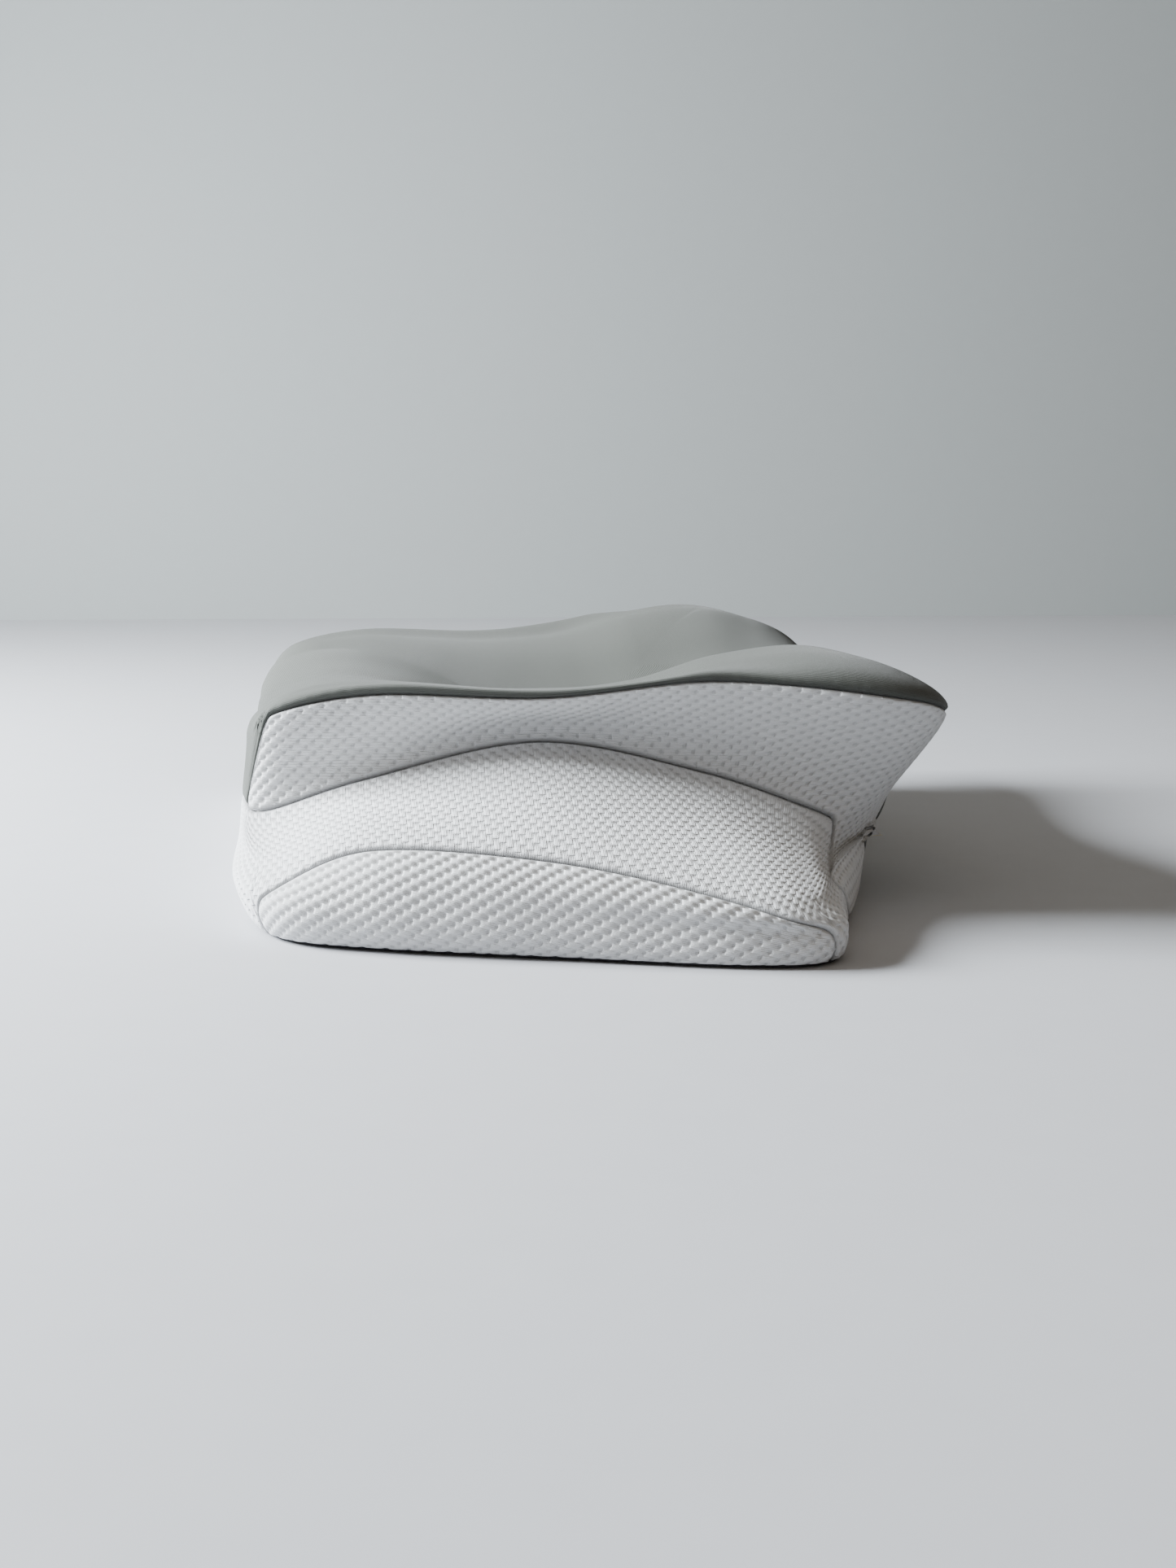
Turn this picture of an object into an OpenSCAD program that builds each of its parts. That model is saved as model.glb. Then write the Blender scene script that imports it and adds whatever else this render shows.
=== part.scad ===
// Contour bed pillow: a moulded foam core in a liner and a zipped knit cover.
// X runs from the low neck side (-X) to the high back side (+X), Y along the
// length, Z up. The origin is the middle of the footprint, on the rest plane.
// The pillow mirrors about the plane Y = 0.

/* [Overall] */
// Length over the two ledges at its ends
pillow_l = 624; // [520:1:750]
// Width over the neck side and the wing tips
pillow_w = 372; // [310:1:450]
// Length of the raised part, from wing seam to wing seam
wing_l = 452; // [390:1:500]

/* [Heights] */
// Neck roll, at the ends
neck_h = 116; // [95:1:140]
// Neck roll, half way along
neck_mid_h = 103; // [86:1:124]
// Dip between the neck roll and the lobe, at the ends
saddle_h = 112; // [94:1:134]
// Lobe at the back of each end, the highest point
lobe_h = 134; // [112:1:162]
// Head cradle in the middle
cradle_h = 70; // [58:1:84]
// Back edge, half way along
back_mid_h = 96; // [80:1:116]
// Upper edge of the ledge at each end
ledge_h = 48; // [40:1:58]
// Crest of the seam where the ledge meets the raised part
waist_h = 89; // [76:1:96]
// Fullest point of the sides, above the rest plane
bulge_h = 22; // [18:1:27]
// Radius of the rounding where the sides turn into the top
rim_r = 48; // [36:1:60]

/* [Cover] */
// Thickness of the cover's knit
knit_t = 2.4; // [1.6:0.1:3.2]
// Thickness of the base panel
base_t = 2; // [1.6:0.1:2.6]
// Thickness of the liner round the foam
liner_t = 0.8; // [0.5:0.1:1.2]
// Air between one layer and the next
layer_gap = 0.4; // [0.2:0.05:1]
// Gap between panels along a seam
seam_gap = 0.7; // [0.4:0.1:1.2]

/* [Zip] */
// Length of the coil rows
zip_l = 400; // [300:1:440]
// Width of each tape
tape_w = 12; // [10:0.5:14]
// Thickness of each tape
tape_t = 0.5; // [0.4:0.1:0.7]
// Half width of the opening in the base panel
zip_slot = 7; // [6.5:0.5:8]
// Width and height of one coil row
coil_w = 2.2; // [1.8:0.1:2.6]
coil_t = 1.2; // [1:0.1:1.4]
// Space between the coil rows, where the slider's neck runs
coil_gap = 1.6; // [1.4:0.1:2]
// Height of the tapes above the rest plane
tape_z = 4.4; // [4.3:0.1:4.8]
// Slider's width, length and plate thickness
slider_w = 9; // [8:0.5:10]
slider_l = 12; // [10:0.5:14]
plate_t = 1; // [0.8:0.1:1.1]
// Running clearance of the slider and the puller's eye
run_gap = 0.25; // [0.2:0.05:0.3]
// Puller's length, width and thickness
puller_l = 24; // [18:0.5:30]
puller_w = 5; // [4:0.5:6]
puller_t = 1.1; // [0.9:0.1:1.2]

/* [Label] */
// Width and thickness of the blank care label
label_w = 30; // [24:1:40]
label_t = 0.4; // [0.3:0.1:0.6]

/* [Hidden] */

half_w = pillow_w / 2;
half_l = pillow_l / 2;
half_wing = wing_l / 2;

// ---- Crown: height of the top, from the neck side to the back side ----
// Places across the width, in percent of the half width
crown_x = [-125, -98, -63, -17.5, 12, 36, 63, 90, 112];
// Heights there along the ends, and half way along the length
crown_end = [neck_h - 18, neck_h - 8, neck_h, saddle_h, saddle_h + 4,
             lobe_h - 5, lobe_h, lobe_h - 11, lobe_h - 22];
crown_mid = [neck_mid_h - 11, neck_mid_h - 6, neck_mid_h, cradle_h + 8, cradle_h,
             cradle_h + 6, back_mid_h - 6, back_mid_h, back_mid_h];
// The cradle's level length, and where the ends' own profile begins
cradle_y = 10;
wing_y = half_wing * 0.664;

// ---- Rings: level outlines round the pillow, at 11 stations of its near half ----
// Stations run from the middle of the neck side (0) by the near corner (2, 3), the
// end (4 to 6) and the wing's corner (7, 8) to the middle of the back side (10).
// Each is [percent of half width, percent of half length, height]; the last two
// rings take their length from the raised part, and the last its drop from the crown.
rest_ring = [[-93.5, 0, 0], [-94, -32, 0], [-93.5, -58.5, 0], [-86, -74, 0],
             [-63, -82, 0], [-17.5, -90.5, 0], [28, -98.5, 0], [50.5, -97, 0],
             [59, -82.5, 0], [77, -48, 0], [82.5, 0, 0]];
bulge_ring = [[-98, 0, 1], [-98.5, -32, 1], [-99.5, -59.5, 0.95], [-90.5, -75.5, 0.9],
              [-65, -84, 0.95], [-16.5, -92, 0.9], [30, -99, 0.73], [53, -97.5, 0.73],
              [60.5, -82, 0.9], [81.5, -48, 1.1], [86.5, 0, 1.15]];
ledge_ring = [[-99, 0, 0.83], [-99, -30.5, 0.83], [-98, -54, 0.77], [-89, -68, 0.73],
              [-63, -76.5, 1], [-17.5, -86, 0.94], [28, -95, 0.69], [49, -92.5, 0.58],
              [61, -75.5, 0.67], [84, -47, 0.83], [89.5, 0, 0.92]];
waist_ring = [[-98, 0, 0.64], [-98, -42, 0.64], [-98, -64, 0.62], [-91.5, -73.5, 0.6],
              [-64, -76.5, 0.79], [-16.5, -77, 1], [28, -83.5, 0.84], [59.5, -89, 0.62],
              [74, -83, 0.47], [91, -57.5, 0.56], [96, 0, 0.65]];
rim_ring = [[-97, 0, 17], [-97, -42, 18], [-95.5, -64.5, 20], [-88.5, -75, 7],
            [-60.5, -80.5, 2], [-15, -86.5, -1], [32, -93.5, 5], [82.5, -100, 13],
            [99, -83, 16], [99.5, -44, 12], [97, 0, 4]];
stations = 20;
centre_x = 2;

// ---- Seams, as places up the side: 0 rest, 1 bulge, 2 ledge, 3 waist, 4 rim ----
// Stations where the ledge's lower panel starts and ends
lower_from = 2.75;
lower_to = 6.95;
// Stations where the side band starts to narrow and where it runs out
band_narrows = 7.3;
band_ends = 8.6;
// Stations where the upper panel's two corners begin and end
upper_from = 2.3;
upper_full = 2.95;
upper_narrows = 8.4;
upper_to = 9;
// Lowest place that the side panels reach
hem_v = 0.06;

// ---- Zip heights and places ----
inner_floor = base_t + layer_gap;
foam_floor = inner_floor + liner_t + layer_gap;
plate_low_z = tape_z - 0.6 - plate_t;
coil_z = tape_z + tape_t;
plate_high_z = coil_z + coil_t + run_gap;
channel_z = plate_high_z + plate_t + 0.8;
channel_w = 2 * (coil_gap / 2 + tape_w + 3);
zip_end = zip_l / 2 + puller_l - slider_l + 3;
channel_l = 2 * (zip_end + 5);
bar_r = 0.5;
eye_r = 1.05;
bar_z = plate_low_z - run_gap - eye_r;
slider_y = -(zip_l / 2 - slider_l);
bar_y = slider_y + 1.5;

// ---- Curves ----
function smooth(t) = let (c = min(max(t, 0), 1)) c * c * (3 - 2 * c);
function mix(a, b, t) = a + (b - a) * t;
function through(p0, p1, p2, p3, t) =
    0.5 * (2 * p1 + (p2 - p0) * t + (2 * p0 - 5 * p1 + 4 * p2 - p3) * t * t
           + (3 * p1 - p0 - 3 * p2 + p3) * t * t * t);
function between(p0, m0, p1, m1, t) =
    (2 * t * t * t - 3 * t * t + 1) * p0 + (t * t * t - 2 * t * t + t) * m0
    + (3 * t * t - 2 * t * t * t) * p1 + (t * t * t - t * t) * m1;
function slope(xs, ys, i) =
    let (a = max(i - 1, 0), b = min(i + 1, len(xs) - 1)) (ys[b] - ys[a]) / (xs[b] - xs[a]);
function seg(xs, x, i = 0) = i >= len(xs) - 2 || x < xs[i + 1] ? i : seg(xs, x, i + 1);
function profile(xs, ys, x) =
    let (c = min(max(x, xs[0]), xs[len(xs) - 1]), i = seg(xs, c), w = xs[i + 1] - xs[i])
    between(ys[i], slope(xs, ys, i) * w, ys[i + 1], slope(xs, ys, i + 1) * w, (c - xs[i]) / w);
function crown(x, y) =
    let (p = 100 * x / half_w)
    mix(profile(crown_x, crown_mid, p), profile(crown_x, crown_end, p),
        smooth((abs(y) - cradle_y) / (wing_y - cradle_y)));

// ---- The outer surface: place(s, v), s round the pillow, v up and over it ----
function placed(p, length, rise, drop) =
    let (x = p[0] * half_w / 100, y = p[1] * length / 100)
    [x, y, drop ? crown(x, y) - p[2] : p[2] * rise];
function whole(ring, length, rise, drop = false) =
    [for (i = [0:stations - 1])
        let (j = i > 10 ? stations - i : i, p = placed(ring[j], length, rise, drop))
        i > 10 ? [p[0], -p[1], p[2]] : p];
cage = [whole(rest_ring, half_l, 1), whole(bulge_ring, half_l, bulge_h),
        whole(ledge_ring, half_l, ledge_h), whole(waist_ring, half_wing, waist_h),
        whole(rim_ring, half_wing, 1, true)];
function on_ring(k, s) =
    let (i = floor(s), c = cage[k], n = stations)
    through(c[(i + n - 1) % n], c[(i + n) % n], c[(i + n + 1) % n], c[(i + n + 2) % n], s - i);
function away(p) = let (d = [p[0] - centre_x, p[1], 0]) d / norm(d);
function lean(k, s) =
    k == 0 ? away(on_ring(0, s)) * 22 + [0, 0, 6]
    : k == 4 ? (on_ring(4, s) - on_ring(3, s)) * 0.25 + [0, 0, 28]
    : (on_ring(k + 1, s) - on_ring(k - 1, s)) / 2;
function side(s, v) =
    let (k = min(floor(v), 3))
    between(on_ring(k, s), lean(k, s), on_ring(k + 1, s), lean(k + 1, s), v - k);
// Over the rim: the first part of the way follows the rounding, the rest the crown.
// Where the rim lies hardly below the crown, the rounding is a small raised roll.
rim_share = 0.4;
roll_r = 30;
roll_lift = 17;
roll_drop = 14;
function over(s, u) =
    let (p = on_ring(4, s), d = [p[0] - centre_x, p[1]], reach = norm(d),
         drop = crown(p[0], p[1]) - p[2], deep = smooth(drop / roll_drop),
         r = mix(roll_r, rim_r, deep), a = min(u / rim_share, 1) * 90,
         inset = u < rim_share ? r * (1 - cos(a))
                 : r + (reach - r) * (u - rim_share) / (1 - rim_share),
         lift = roll_lift * (1 - deep), away = lean(4, s),
         swell = (drop + lift) / away[2] * sin(a) * (1 - sin(a)),
         x = centre_x + d[0] * (1 - inset / reach) + away[0] * swell,
         y = d[1] * (1 - inset / reach) + away[1] * swell)
    [x, y, crown(x, y) + (lift * sin(a) - drop) * (1 - sin(a))];
function place(s, v) = v <= 4 ? side(s, v) : over(s, v - 4);
step = 0.02;
// A wider step up the side turns the layers' normals gradually over the rim's roll
rise_step = 0.04;
function outward(s, v) =
    let (n = cross(place(s + step, v) - place(s - step, v),
                   place(s, v + rise_step) - place(s, max(v - rise_step, 0)))) n / norm(n);
// A point d inside the outer surface
function inside(s, v, d) = place(s, v) - d * outward(s, v);

// ---- Seam lines ----
function mirrored(s) = let (t = s - stations * floor(s / stations)) t > 10 ? stations - t : t;
function band_top(s) =
    3 * (1 - smooth((mirrored(s) - band_narrows) / (band_ends - band_narrows)));
function knit_top(s) =
    let (m = mirrored(s), b = band_top(s),
         w = smooth((m - upper_from) / (upper_full - upper_from))
             * smooth((upper_to - m) / (upper_to - upper_narrows)))
    mix(b, 4, w);
function ledge_seam(s) =
    let (m = mirrored(s), c = (lower_from + lower_to) / 2, h = (lower_to - lower_from) / 2,
         q = min(abs(m - c) / h, 1))
    2 * pow(1 - pow(q, 3.2), 0.42);
gap_v = seam_gap / 50;

// ---- Sampling, shared by the cover and all that is inside it ----
// Stations: the seams' own ends, and how many steps there are from each to the next
knots = [0, 1, 2, upper_from, lower_from, upper_full, 4, 5, 6, lower_to, band_narrows,
         upper_narrows, band_ends, upper_to, 10];
steps = [1, 2, 2, 3, 2, 4, 2, 2, 4, 2, 5, 1, 4, 3];
half_samples = [for (k = [0:len(steps) - 1]) for (j = [0:steps[k] - 1])
    mix(knots[k], knots[k + 1], j / steps[k])];
samples = concat(half_samples,
                 [10], [for (i = [len(half_samples) - 1:-1:1]) stations - half_samples[i]]);
function from_to(from, to) = [for (s = half_samples) if (s >= from && s <= to) s];
// Rows: a run of them from each seam line to the next, and then over the top.
// Rows meet where a panel has run out.
function ledge_line(s) = max(ledge_seam(s), hem_v);
function band_line(s) = max(band_top(s), ledge_line(s));
function knit_line(s) = max(knit_top(s), band_line(s));
top_start = 4.3;
top_v = [4.4, 4.5, 4.62, 4.75, 4.88];
lower_rows = 4;
band_rows = 8;
upper_rows = 6;
top_rows = 11;
function run(low, high, n) = [for (i = [0:n]) mix(low, high, i / n)];
function top_run(low) =
    concat([for (i = [0:top_rows]) mix(low, top_start, 1 - pow(1 - i / top_rows, 1.4))], top_v);
function after_first(list) = [for (i = [1:len(list) - 1]) list[i]];
function body_run(s) =
    concat([0], run(hem_v, ledge_line(s), lower_rows),
           after_first(run(ledge_line(s), band_line(s), band_rows)),
           after_first(run(band_line(s), knit_line(s), upper_rows)),
           after_first(top_run(knit_line(s))));
body_runs = [for (s = samples) body_run(s)];
// Half the gap beside a seam line, measured up the side, so more where the line is steep
up_to_along = 0.12;
function steep(line, s) = up_to_along * (line(s + step) - line(s - step)) / (2 * step);
function half_gap(line, s) = gap_v / 2 * sqrt(1 + pow(steep(line, s), 2));
// A strip's own run, short of both its seam lines
function strip_run(low, high, s, n) =
    let (middle = (low(s) + high(s)) / 2)
    run(min(low(s) + half_gap(low, s), middle), max(high(s) - half_gap(high, s), middle), n);

// ---- Solids from grids of points; rows run up, columns run with s ----
// Where a row meets the one below it, both use the lower row's point.
function point_id(rows, i, j, n) = i > 0 && rows[i][j] == rows[i - 1][j] ?
    point_id(rows, i - 1, j, n) : i * n + j;
function ids(rows) =
    let (n = len(rows[0])) [for (i = [0:len(rows) - 1]) [for (j = [0:n - 1]) point_id(rows, i, j, n)]];
function kept(faces) = [for (f = faces) if (f[0] != f[1] && f[1] != f[2] && f[2] != f[0]) f];
function turned(faces) = [for (f = faces) [f[0], f[2], f[1]]];
// Cells are cut on one slant on the near side and on the other on the far side
function is_far(s) = s < 0 || s >= 10;
function sheet_faces(id, columns, cells, first) =
    [for (i = [0:len(id) - 2]) for (j = [0:cells - 1])
        let (k = (j + 1) % len(id[0]), a = first + id[i][j], b = first + id[i][k],
             c = first + id[i + 1][k], d = first + id[i + 1][j])
        each is_far(columns[j]) ? [[a, d, b], [b, d, c]] : [[a, d, c], [a, c, b]]];
function wall_faces(edge, o) =
    [for (i = [0:len(edge) - 2]) let (a = edge[i], b = edge[i + 1])
        each [[a, b, o + b], [a, o + b, o + a]]];
function cap_faces(edge, pole) =
    [for (j = [0:len(edge) - 1]) [edge[j], pole, edge[(j + 1) % len(edge)]]];
function column(id, j) = [for (r = id) r[j]];
function reversed(list) = [for (i = [len(list) - 1:-1:0]) list[i]];
module skin_patch(columns, outer, inner) {
    n = len(outer[0]);
    o = len(outer) * n;
    id = ids(outer);
    points = concat([for (r = outer) each r], [for (r = inner) each r]);
    rim = concat(wall_faces(id[0], o), wall_faces(reversed(id[len(id) - 1]), o),
                 wall_faces(reversed(column(id, 0)), o), wall_faces(column(id, n - 1), o));
    polyhedron(points, kept(concat(sheet_faces(id, columns, n - 1, 0),
                                   turned(sheet_faces(id, columns, n - 1, o)), rim)),
               convexity = 8);
}
module skin_dome(outer, inner, outer_pole, inner_pole) {
    n = len(outer[0]);
    o = len(outer) * n;
    id = ids(outer);
    last = id[len(id) - 1];
    points = concat([for (r = outer) each r], [for (r = inner) each r], [outer_pole, inner_pole]);
    polyhedron(points, kept(concat(sheet_faces(id, samples, n, 0), cap_faces(last, 2 * o),
                                   wall_faces(concat(id[0], [id[0][0]]), o),
                                   turned(sheet_faces(id, samples, n, o)),
                                   turned(cap_faces([for (p = last) o + p], 2 * o + 1)))),
               convexity = 8);
}
module solid_rings(rings, low_pole, high_pole) {
    n = len(rings[0]);
    o = len(rings) * n;
    id = ids(rings);
    points = concat([for (r = rings) each r], [low_pole, high_pole]);
    polyhedron(points, kept(concat(sheet_faces(id, samples, n, 0), turned(cap_faces(id[0], o)),
                                   cap_faces(id[len(id) - 1], o + 1))), convexity = 8);
}

// One strip of the cover; runs holds each column's heights, from its low seam up
function rows_of(columns, runs, d) =
    [for (i = [0:len(runs[0]) - 1]) [for (j = [0:len(columns) - 1]) inside(columns[j], runs[j][i], d)]];
module cover_strip(columns, runs) {
    skin_patch(columns, rows_of(columns, runs, 0), rows_of(columns, runs, knit_t));
}

// The whole body, d inside the outer surface, on a floor with the zip's channel in it
channel_slant = 0.02;
function channel_at(s) =
    let (p = on_ring(0, s), half = channel_w / 2)
    [min(max(p[0], -half), half) + channel_slant * p[0], p[1] * channel_l / (1.81 * half_l)];
function channel_row(z) = [for (s = samples) let (c = channel_at(s)) [c[0], c[1], z]];
function body_rows(d, floor_z) =
    [for (row = rows_of(samples, body_runs, d)) [for (p = row) [p[0], p[1], max(p[2], floor_z)]]];
function top_pole(d) = [centre_x, 0, crown(centre_x, 0) - d];

module foam_core() {
    inset = knit_t + liner_t + 2 * layer_gap;
    color("ivory")
        solid_rings(concat([channel_row(channel_z), channel_row(foam_floor)],
                           body_rows(inset, foam_floor)),
                    [0, 0, channel_z], top_pole(inset));
}

module liner() {
    out = knit_t + layer_gap;
    color("whitesmoke")
        skin_dome(concat([channel_row(inner_floor)], body_rows(out, inner_floor)),
                  concat([channel_row(inner_floor + liner_t)],
                         body_rows(out + liner_t, inner_floor + liner_t)),
                  top_pole(out), top_pole(out + liner_t));
}

// Smooth knit over the top and down both long sides
module top_panel() {
    line = function (s) knit_line(s);
    runs = [for (s = samples)
        top_run(line(s) > hem_v ? line(s) + half_gap(line, s) : hem_v)];
    color([0.60, 0.60, 0.575])
        skin_dome(rows_of(samples, runs, 0), rows_of(samples, runs, knit_t),
                  top_pole(0), top_pole(knit_t));
}

// Dimpled knit above the ledge, between the side band and the top panel
module upper_panel() {
    columns = from_to(upper_from, upper_to);
    color([0.90, 0.90, 0.91])
        cover_strip(columns, [for (s = columns)
            strip_run(function (s) band_line(s), function (s) knit_line(s), s, upper_rows)]);
}
module upper_panel_near() { upper_panel(); }
module upper_panel_far() { mirror([0, 1, 0]) upper_panel(); }

// Arched dimpled knit on the front of the ledge
module lower_panel() {
    columns = from_to(lower_from, lower_to);
    color([0.88, 0.89, 0.91])
        cover_strip(columns, [for (s = columns)
            run(hem_v, max(ledge_line(s) - half_gap(function (s) ledge_line(s), s), hem_v),
                lower_rows)]);
}
module lower_panel_near() { lower_panel(); }
module lower_panel_far() { mirror([0, 1, 0]) lower_panel(); }

// Ribbed knit over both ledges and along the foot of the neck side
module side_band() {
    half = from_to(0, band_ends);
    columns = concat([for (s = reversed(after_first(half))) -s], half);
    color([0.91, 0.92, 0.95])
        cover_strip(columns, [for (s = columns)
            strip_run(function (s) ledge_line(s), function (s) band_line(s), s, band_rows)]);
}

// Base panel, in two halves either side of the zip, each with a turned-up hem
module base_outline() {
    edge = [for (s = samples) let (p = on_ring(0, s), a = away(p)) [p[0] - a[0] * 0.6, p[1] - a[1] * 0.6]];
    polygon(edge);
}
module base_half(sign) {
    seam = seam_gap / 2;
    hem_w = 2;
    color([0.27, 0.27, 0.29]) {
        difference() {
            linear_extrude(base_t) intersection() {
                base_outline();
                translate([sign > 0 ? seam : -seam - half_w, -half_l]) square([half_w, pillow_l]);
            }
            translate([-zip_slot, -zip_end, -1]) cube([2 * zip_slot, 2 * zip_end, base_t + 2]);
        }
        translate([sign > 0 ? zip_slot : -zip_slot - hem_w, -zip_end, base_t])
            cube([hem_w, 2 * zip_end, tape_z - layer_gap - base_t]);
    }
}
module base_front() { base_half(-1); }
module base_back() { base_half(1); }

module zip_tape(sign) {
    color([0.22, 0.22, 0.24])
        translate([sign > 0 ? coil_gap / 2 : -coil_gap / 2 - tape_w, -zip_end, tape_z])
            cube([tape_w, 2 * zip_end, tape_t]);
}
module zip_tape_front() { zip_tape(-1); }
module zip_tape_back() { zip_tape(1); }

module zip_coil(sign) {
    color([0.16, 0.16, 0.18])
        translate([sign > 0 ? coil_gap / 2 : -coil_gap / 2 - coil_w, -zip_l / 2, coil_z])
            cube([coil_w, zip_l, coil_t]);
}
module zip_coil_front() { zip_coil(-1); }
module zip_coil_back() { zip_coil(1); }

module zip_stop(y) {
    w = coil_gap / 2 + coil_w;
    color([0.55, 0.55, 0.57]) translate([-w, y - 1.5, coil_z]) cube([2 * w, 3, coil_t]);
}
module zip_stop_closed() { zip_stop(-zip_l / 2 - 2); }
module zip_stop_open() { zip_stop(zip_l / 2 + 2); }

// Slider: two plates with turned edges, a neck between the rows, and a bar for the puller
module zip_slider() {
    lip = 0.6;
    neck_w = coil_gap - 2 * run_gap;
    bar_l = puller_w * 0.6;
    post = 0.8;
    color([0.62, 0.62, 0.64]) translate([0, slider_y, 0]) {
        translate([-slider_w / 2, -slider_l / 2, plate_low_z]) cube([slider_w, slider_l, plate_t]);
        translate([-slider_w / 2, -slider_l / 2, plate_high_z]) cube([slider_w, slider_l, plate_t]);
        for (x = [-slider_w / 2, slider_w / 2 - lip]) {
            translate([x, -slider_l / 2, plate_low_z + plate_t])
                cube([lip, slider_l, tape_z - run_gap - plate_low_z - plate_t]);
            translate([x, -slider_l / 2, coil_z + run_gap])
                cube([lip, slider_l, plate_high_z - coil_z - run_gap]);
        }
        translate([-neck_w / 2, -slider_l / 2, plate_low_z + plate_t])
            cube([neck_w, 3, plate_high_z - plate_low_z - plate_t]);
        for (x = [-bar_l / 2 - post, bar_l / 2])
            translate([x, bar_y - slider_y - post / 2, bar_z - bar_r])
                cube([post, post, plate_low_z - bar_z + bar_r]);
        translate([-bar_l / 2 - 0.1, bar_y - slider_y, bar_z]) rotate([0, 90, 0])
            cylinder(r = bar_r, h = bar_l + 0.2, $fn = 32);
    }
}

// Puller: an eye round the slider's bar and a flat tab with a hole near its end
module zip_puller() {
    eye_l = puller_w * 0.6 - 2 * run_gap;
    color([0.62, 0.62, 0.64]) translate([0, bar_y, bar_z]) difference() {
        union() {
            translate([-eye_l / 2, 0, 0]) rotate([0, 90, 0]) cylinder(r = eye_r, h = eye_l, $fn = 32);
            translate([-eye_l / 2, 0, -puller_t / 2]) cube([eye_l, 4, puller_t]);
            translate([-puller_w / 2, 2.6, -puller_t / 2]) cube([puller_w, puller_l - 2.6, puller_t]);
        }
        translate([-eye_l, 0, 0]) rotate([0, 90, 0])
            cylinder(r = bar_r + 0.05, h = 2 * eye_l, $fn = 32);
        translate([0, puller_l - 4, -puller_t]) cylinder(r = 1.2, h = 2 * puller_t, $fn = 32);
    }
}

// Blank label, sewn in at the foot of the back side
module care_label() {
    from = 9.45;
    span = label_w / 75;
    columns = [for (i = [0:4]) from + span * i / 4];
    rise = [for (i = [0:4]) 0.25 + 0.9 * i / 4];
    color("white")
        skin_patch(columns, [for (v = rise) [for (s = columns) inside(s, v, -layer_gap - label_t)]],
                   [for (v = rise) [for (s = columns) inside(s, v, -layer_gap)]]);
}

foam_core();
liner();
top_panel();
upper_panel_near();
upper_panel_far();
lower_panel_near();
lower_panel_far();
side_band();
base_front();
base_back();
zip_tape_front();
zip_tape_back();
zip_coil_front();
zip_coil_back();
zip_stop_closed();
zip_stop_open();
zip_slider();
zip_puller();
care_label();
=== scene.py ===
import math

import bmesh
import bpy
import numpy as np
from mathutils import Matrix, Vector, kdtree
from mathutils.bvhtree import BVHTree


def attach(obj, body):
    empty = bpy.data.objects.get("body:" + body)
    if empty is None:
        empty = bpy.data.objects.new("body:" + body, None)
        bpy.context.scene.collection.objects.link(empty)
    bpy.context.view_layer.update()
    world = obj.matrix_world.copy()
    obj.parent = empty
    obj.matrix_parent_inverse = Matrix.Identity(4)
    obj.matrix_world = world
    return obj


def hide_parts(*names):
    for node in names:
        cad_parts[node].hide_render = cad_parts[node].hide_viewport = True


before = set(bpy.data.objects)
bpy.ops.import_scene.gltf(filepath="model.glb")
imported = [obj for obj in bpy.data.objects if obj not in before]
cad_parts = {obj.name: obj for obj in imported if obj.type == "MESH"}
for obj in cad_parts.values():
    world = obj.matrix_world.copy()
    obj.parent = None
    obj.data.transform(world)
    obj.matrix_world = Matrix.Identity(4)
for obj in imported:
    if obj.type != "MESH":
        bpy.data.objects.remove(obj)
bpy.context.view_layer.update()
MM = 0.001

# ---------------------------------------------------------------- body shape
# The same outer surface as the CAD part, in millimetres: place(s, v) with s
# round the pillow and v up its side, over the rim and in to the middle.
HALF_W, HALF_L, HALF_WING = 186.0, 312.0, 226.0
NECK_H, NECK_MID_H, SADDLE_H, LOBE_H = 116, 103, 112, 134
CRADLE_H, BACK_MID_H = 70, 96
LEDGE_H, WAIST_H, BULGE_H = 48, 89, 22
RIM_R, RIM_SHARE = 48, 0.4
ROLL_R, ROLL_LIFT, ROLL_DROP = 30, 17, 14
CENTRE_X = 2
CRADLE_Y, WING_Y = 10, HALF_WING * 0.664
STATIONS = 20

CROWN_X = [-125, -98, -63, -17.5, 12, 36, 63, 90, 112]
CROWN_END = [NECK_H - 18, NECK_H - 8, NECK_H, SADDLE_H, SADDLE_H + 4,
             LOBE_H - 5, LOBE_H, LOBE_H - 11, LOBE_H - 22]
CROWN_MID = [NECK_MID_H - 11, NECK_MID_H - 6, NECK_MID_H, CRADLE_H + 8, CRADLE_H,
             CRADLE_H + 6, BACK_MID_H - 6, BACK_MID_H, BACK_MID_H]
REST_RING = [[-93.5, 0, 0], [-94, -32, 0], [-93.5, -58.5, 0], [-86, -74, 0],
             [-63, -82, 0], [-17.5, -90.5, 0], [28, -98.5, 0], [50.5, -97, 0],
             [59, -82.5, 0], [77, -48, 0], [82.5, 0, 0]]
BULGE_RING = [[-98, 0, 1], [-98.5, -32, 1], [-99.5, -59.5, 0.95],
              [-90.5, -75.5, 0.9], [-65, -84, 0.95], [-16.5, -92, 0.9],
              [30, -99, 0.73], [53, -97.5, 0.73], [60.5, -82, 0.9],
              [81.5, -48, 1.1], [86.5, 0, 1.15]]
LEDGE_RING = [[-99, 0, 0.83], [-99, -30.5, 0.83], [-98, -54, 0.77],
              [-89, -68, 0.73], [-63, -76.5, 1], [-17.5, -86, 0.94],
              [28, -95, 0.69], [49, -92.5, 0.58], [61, -75.5, 0.67],
              [84, -47, 0.83], [89.5, 0, 0.92]]
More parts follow.
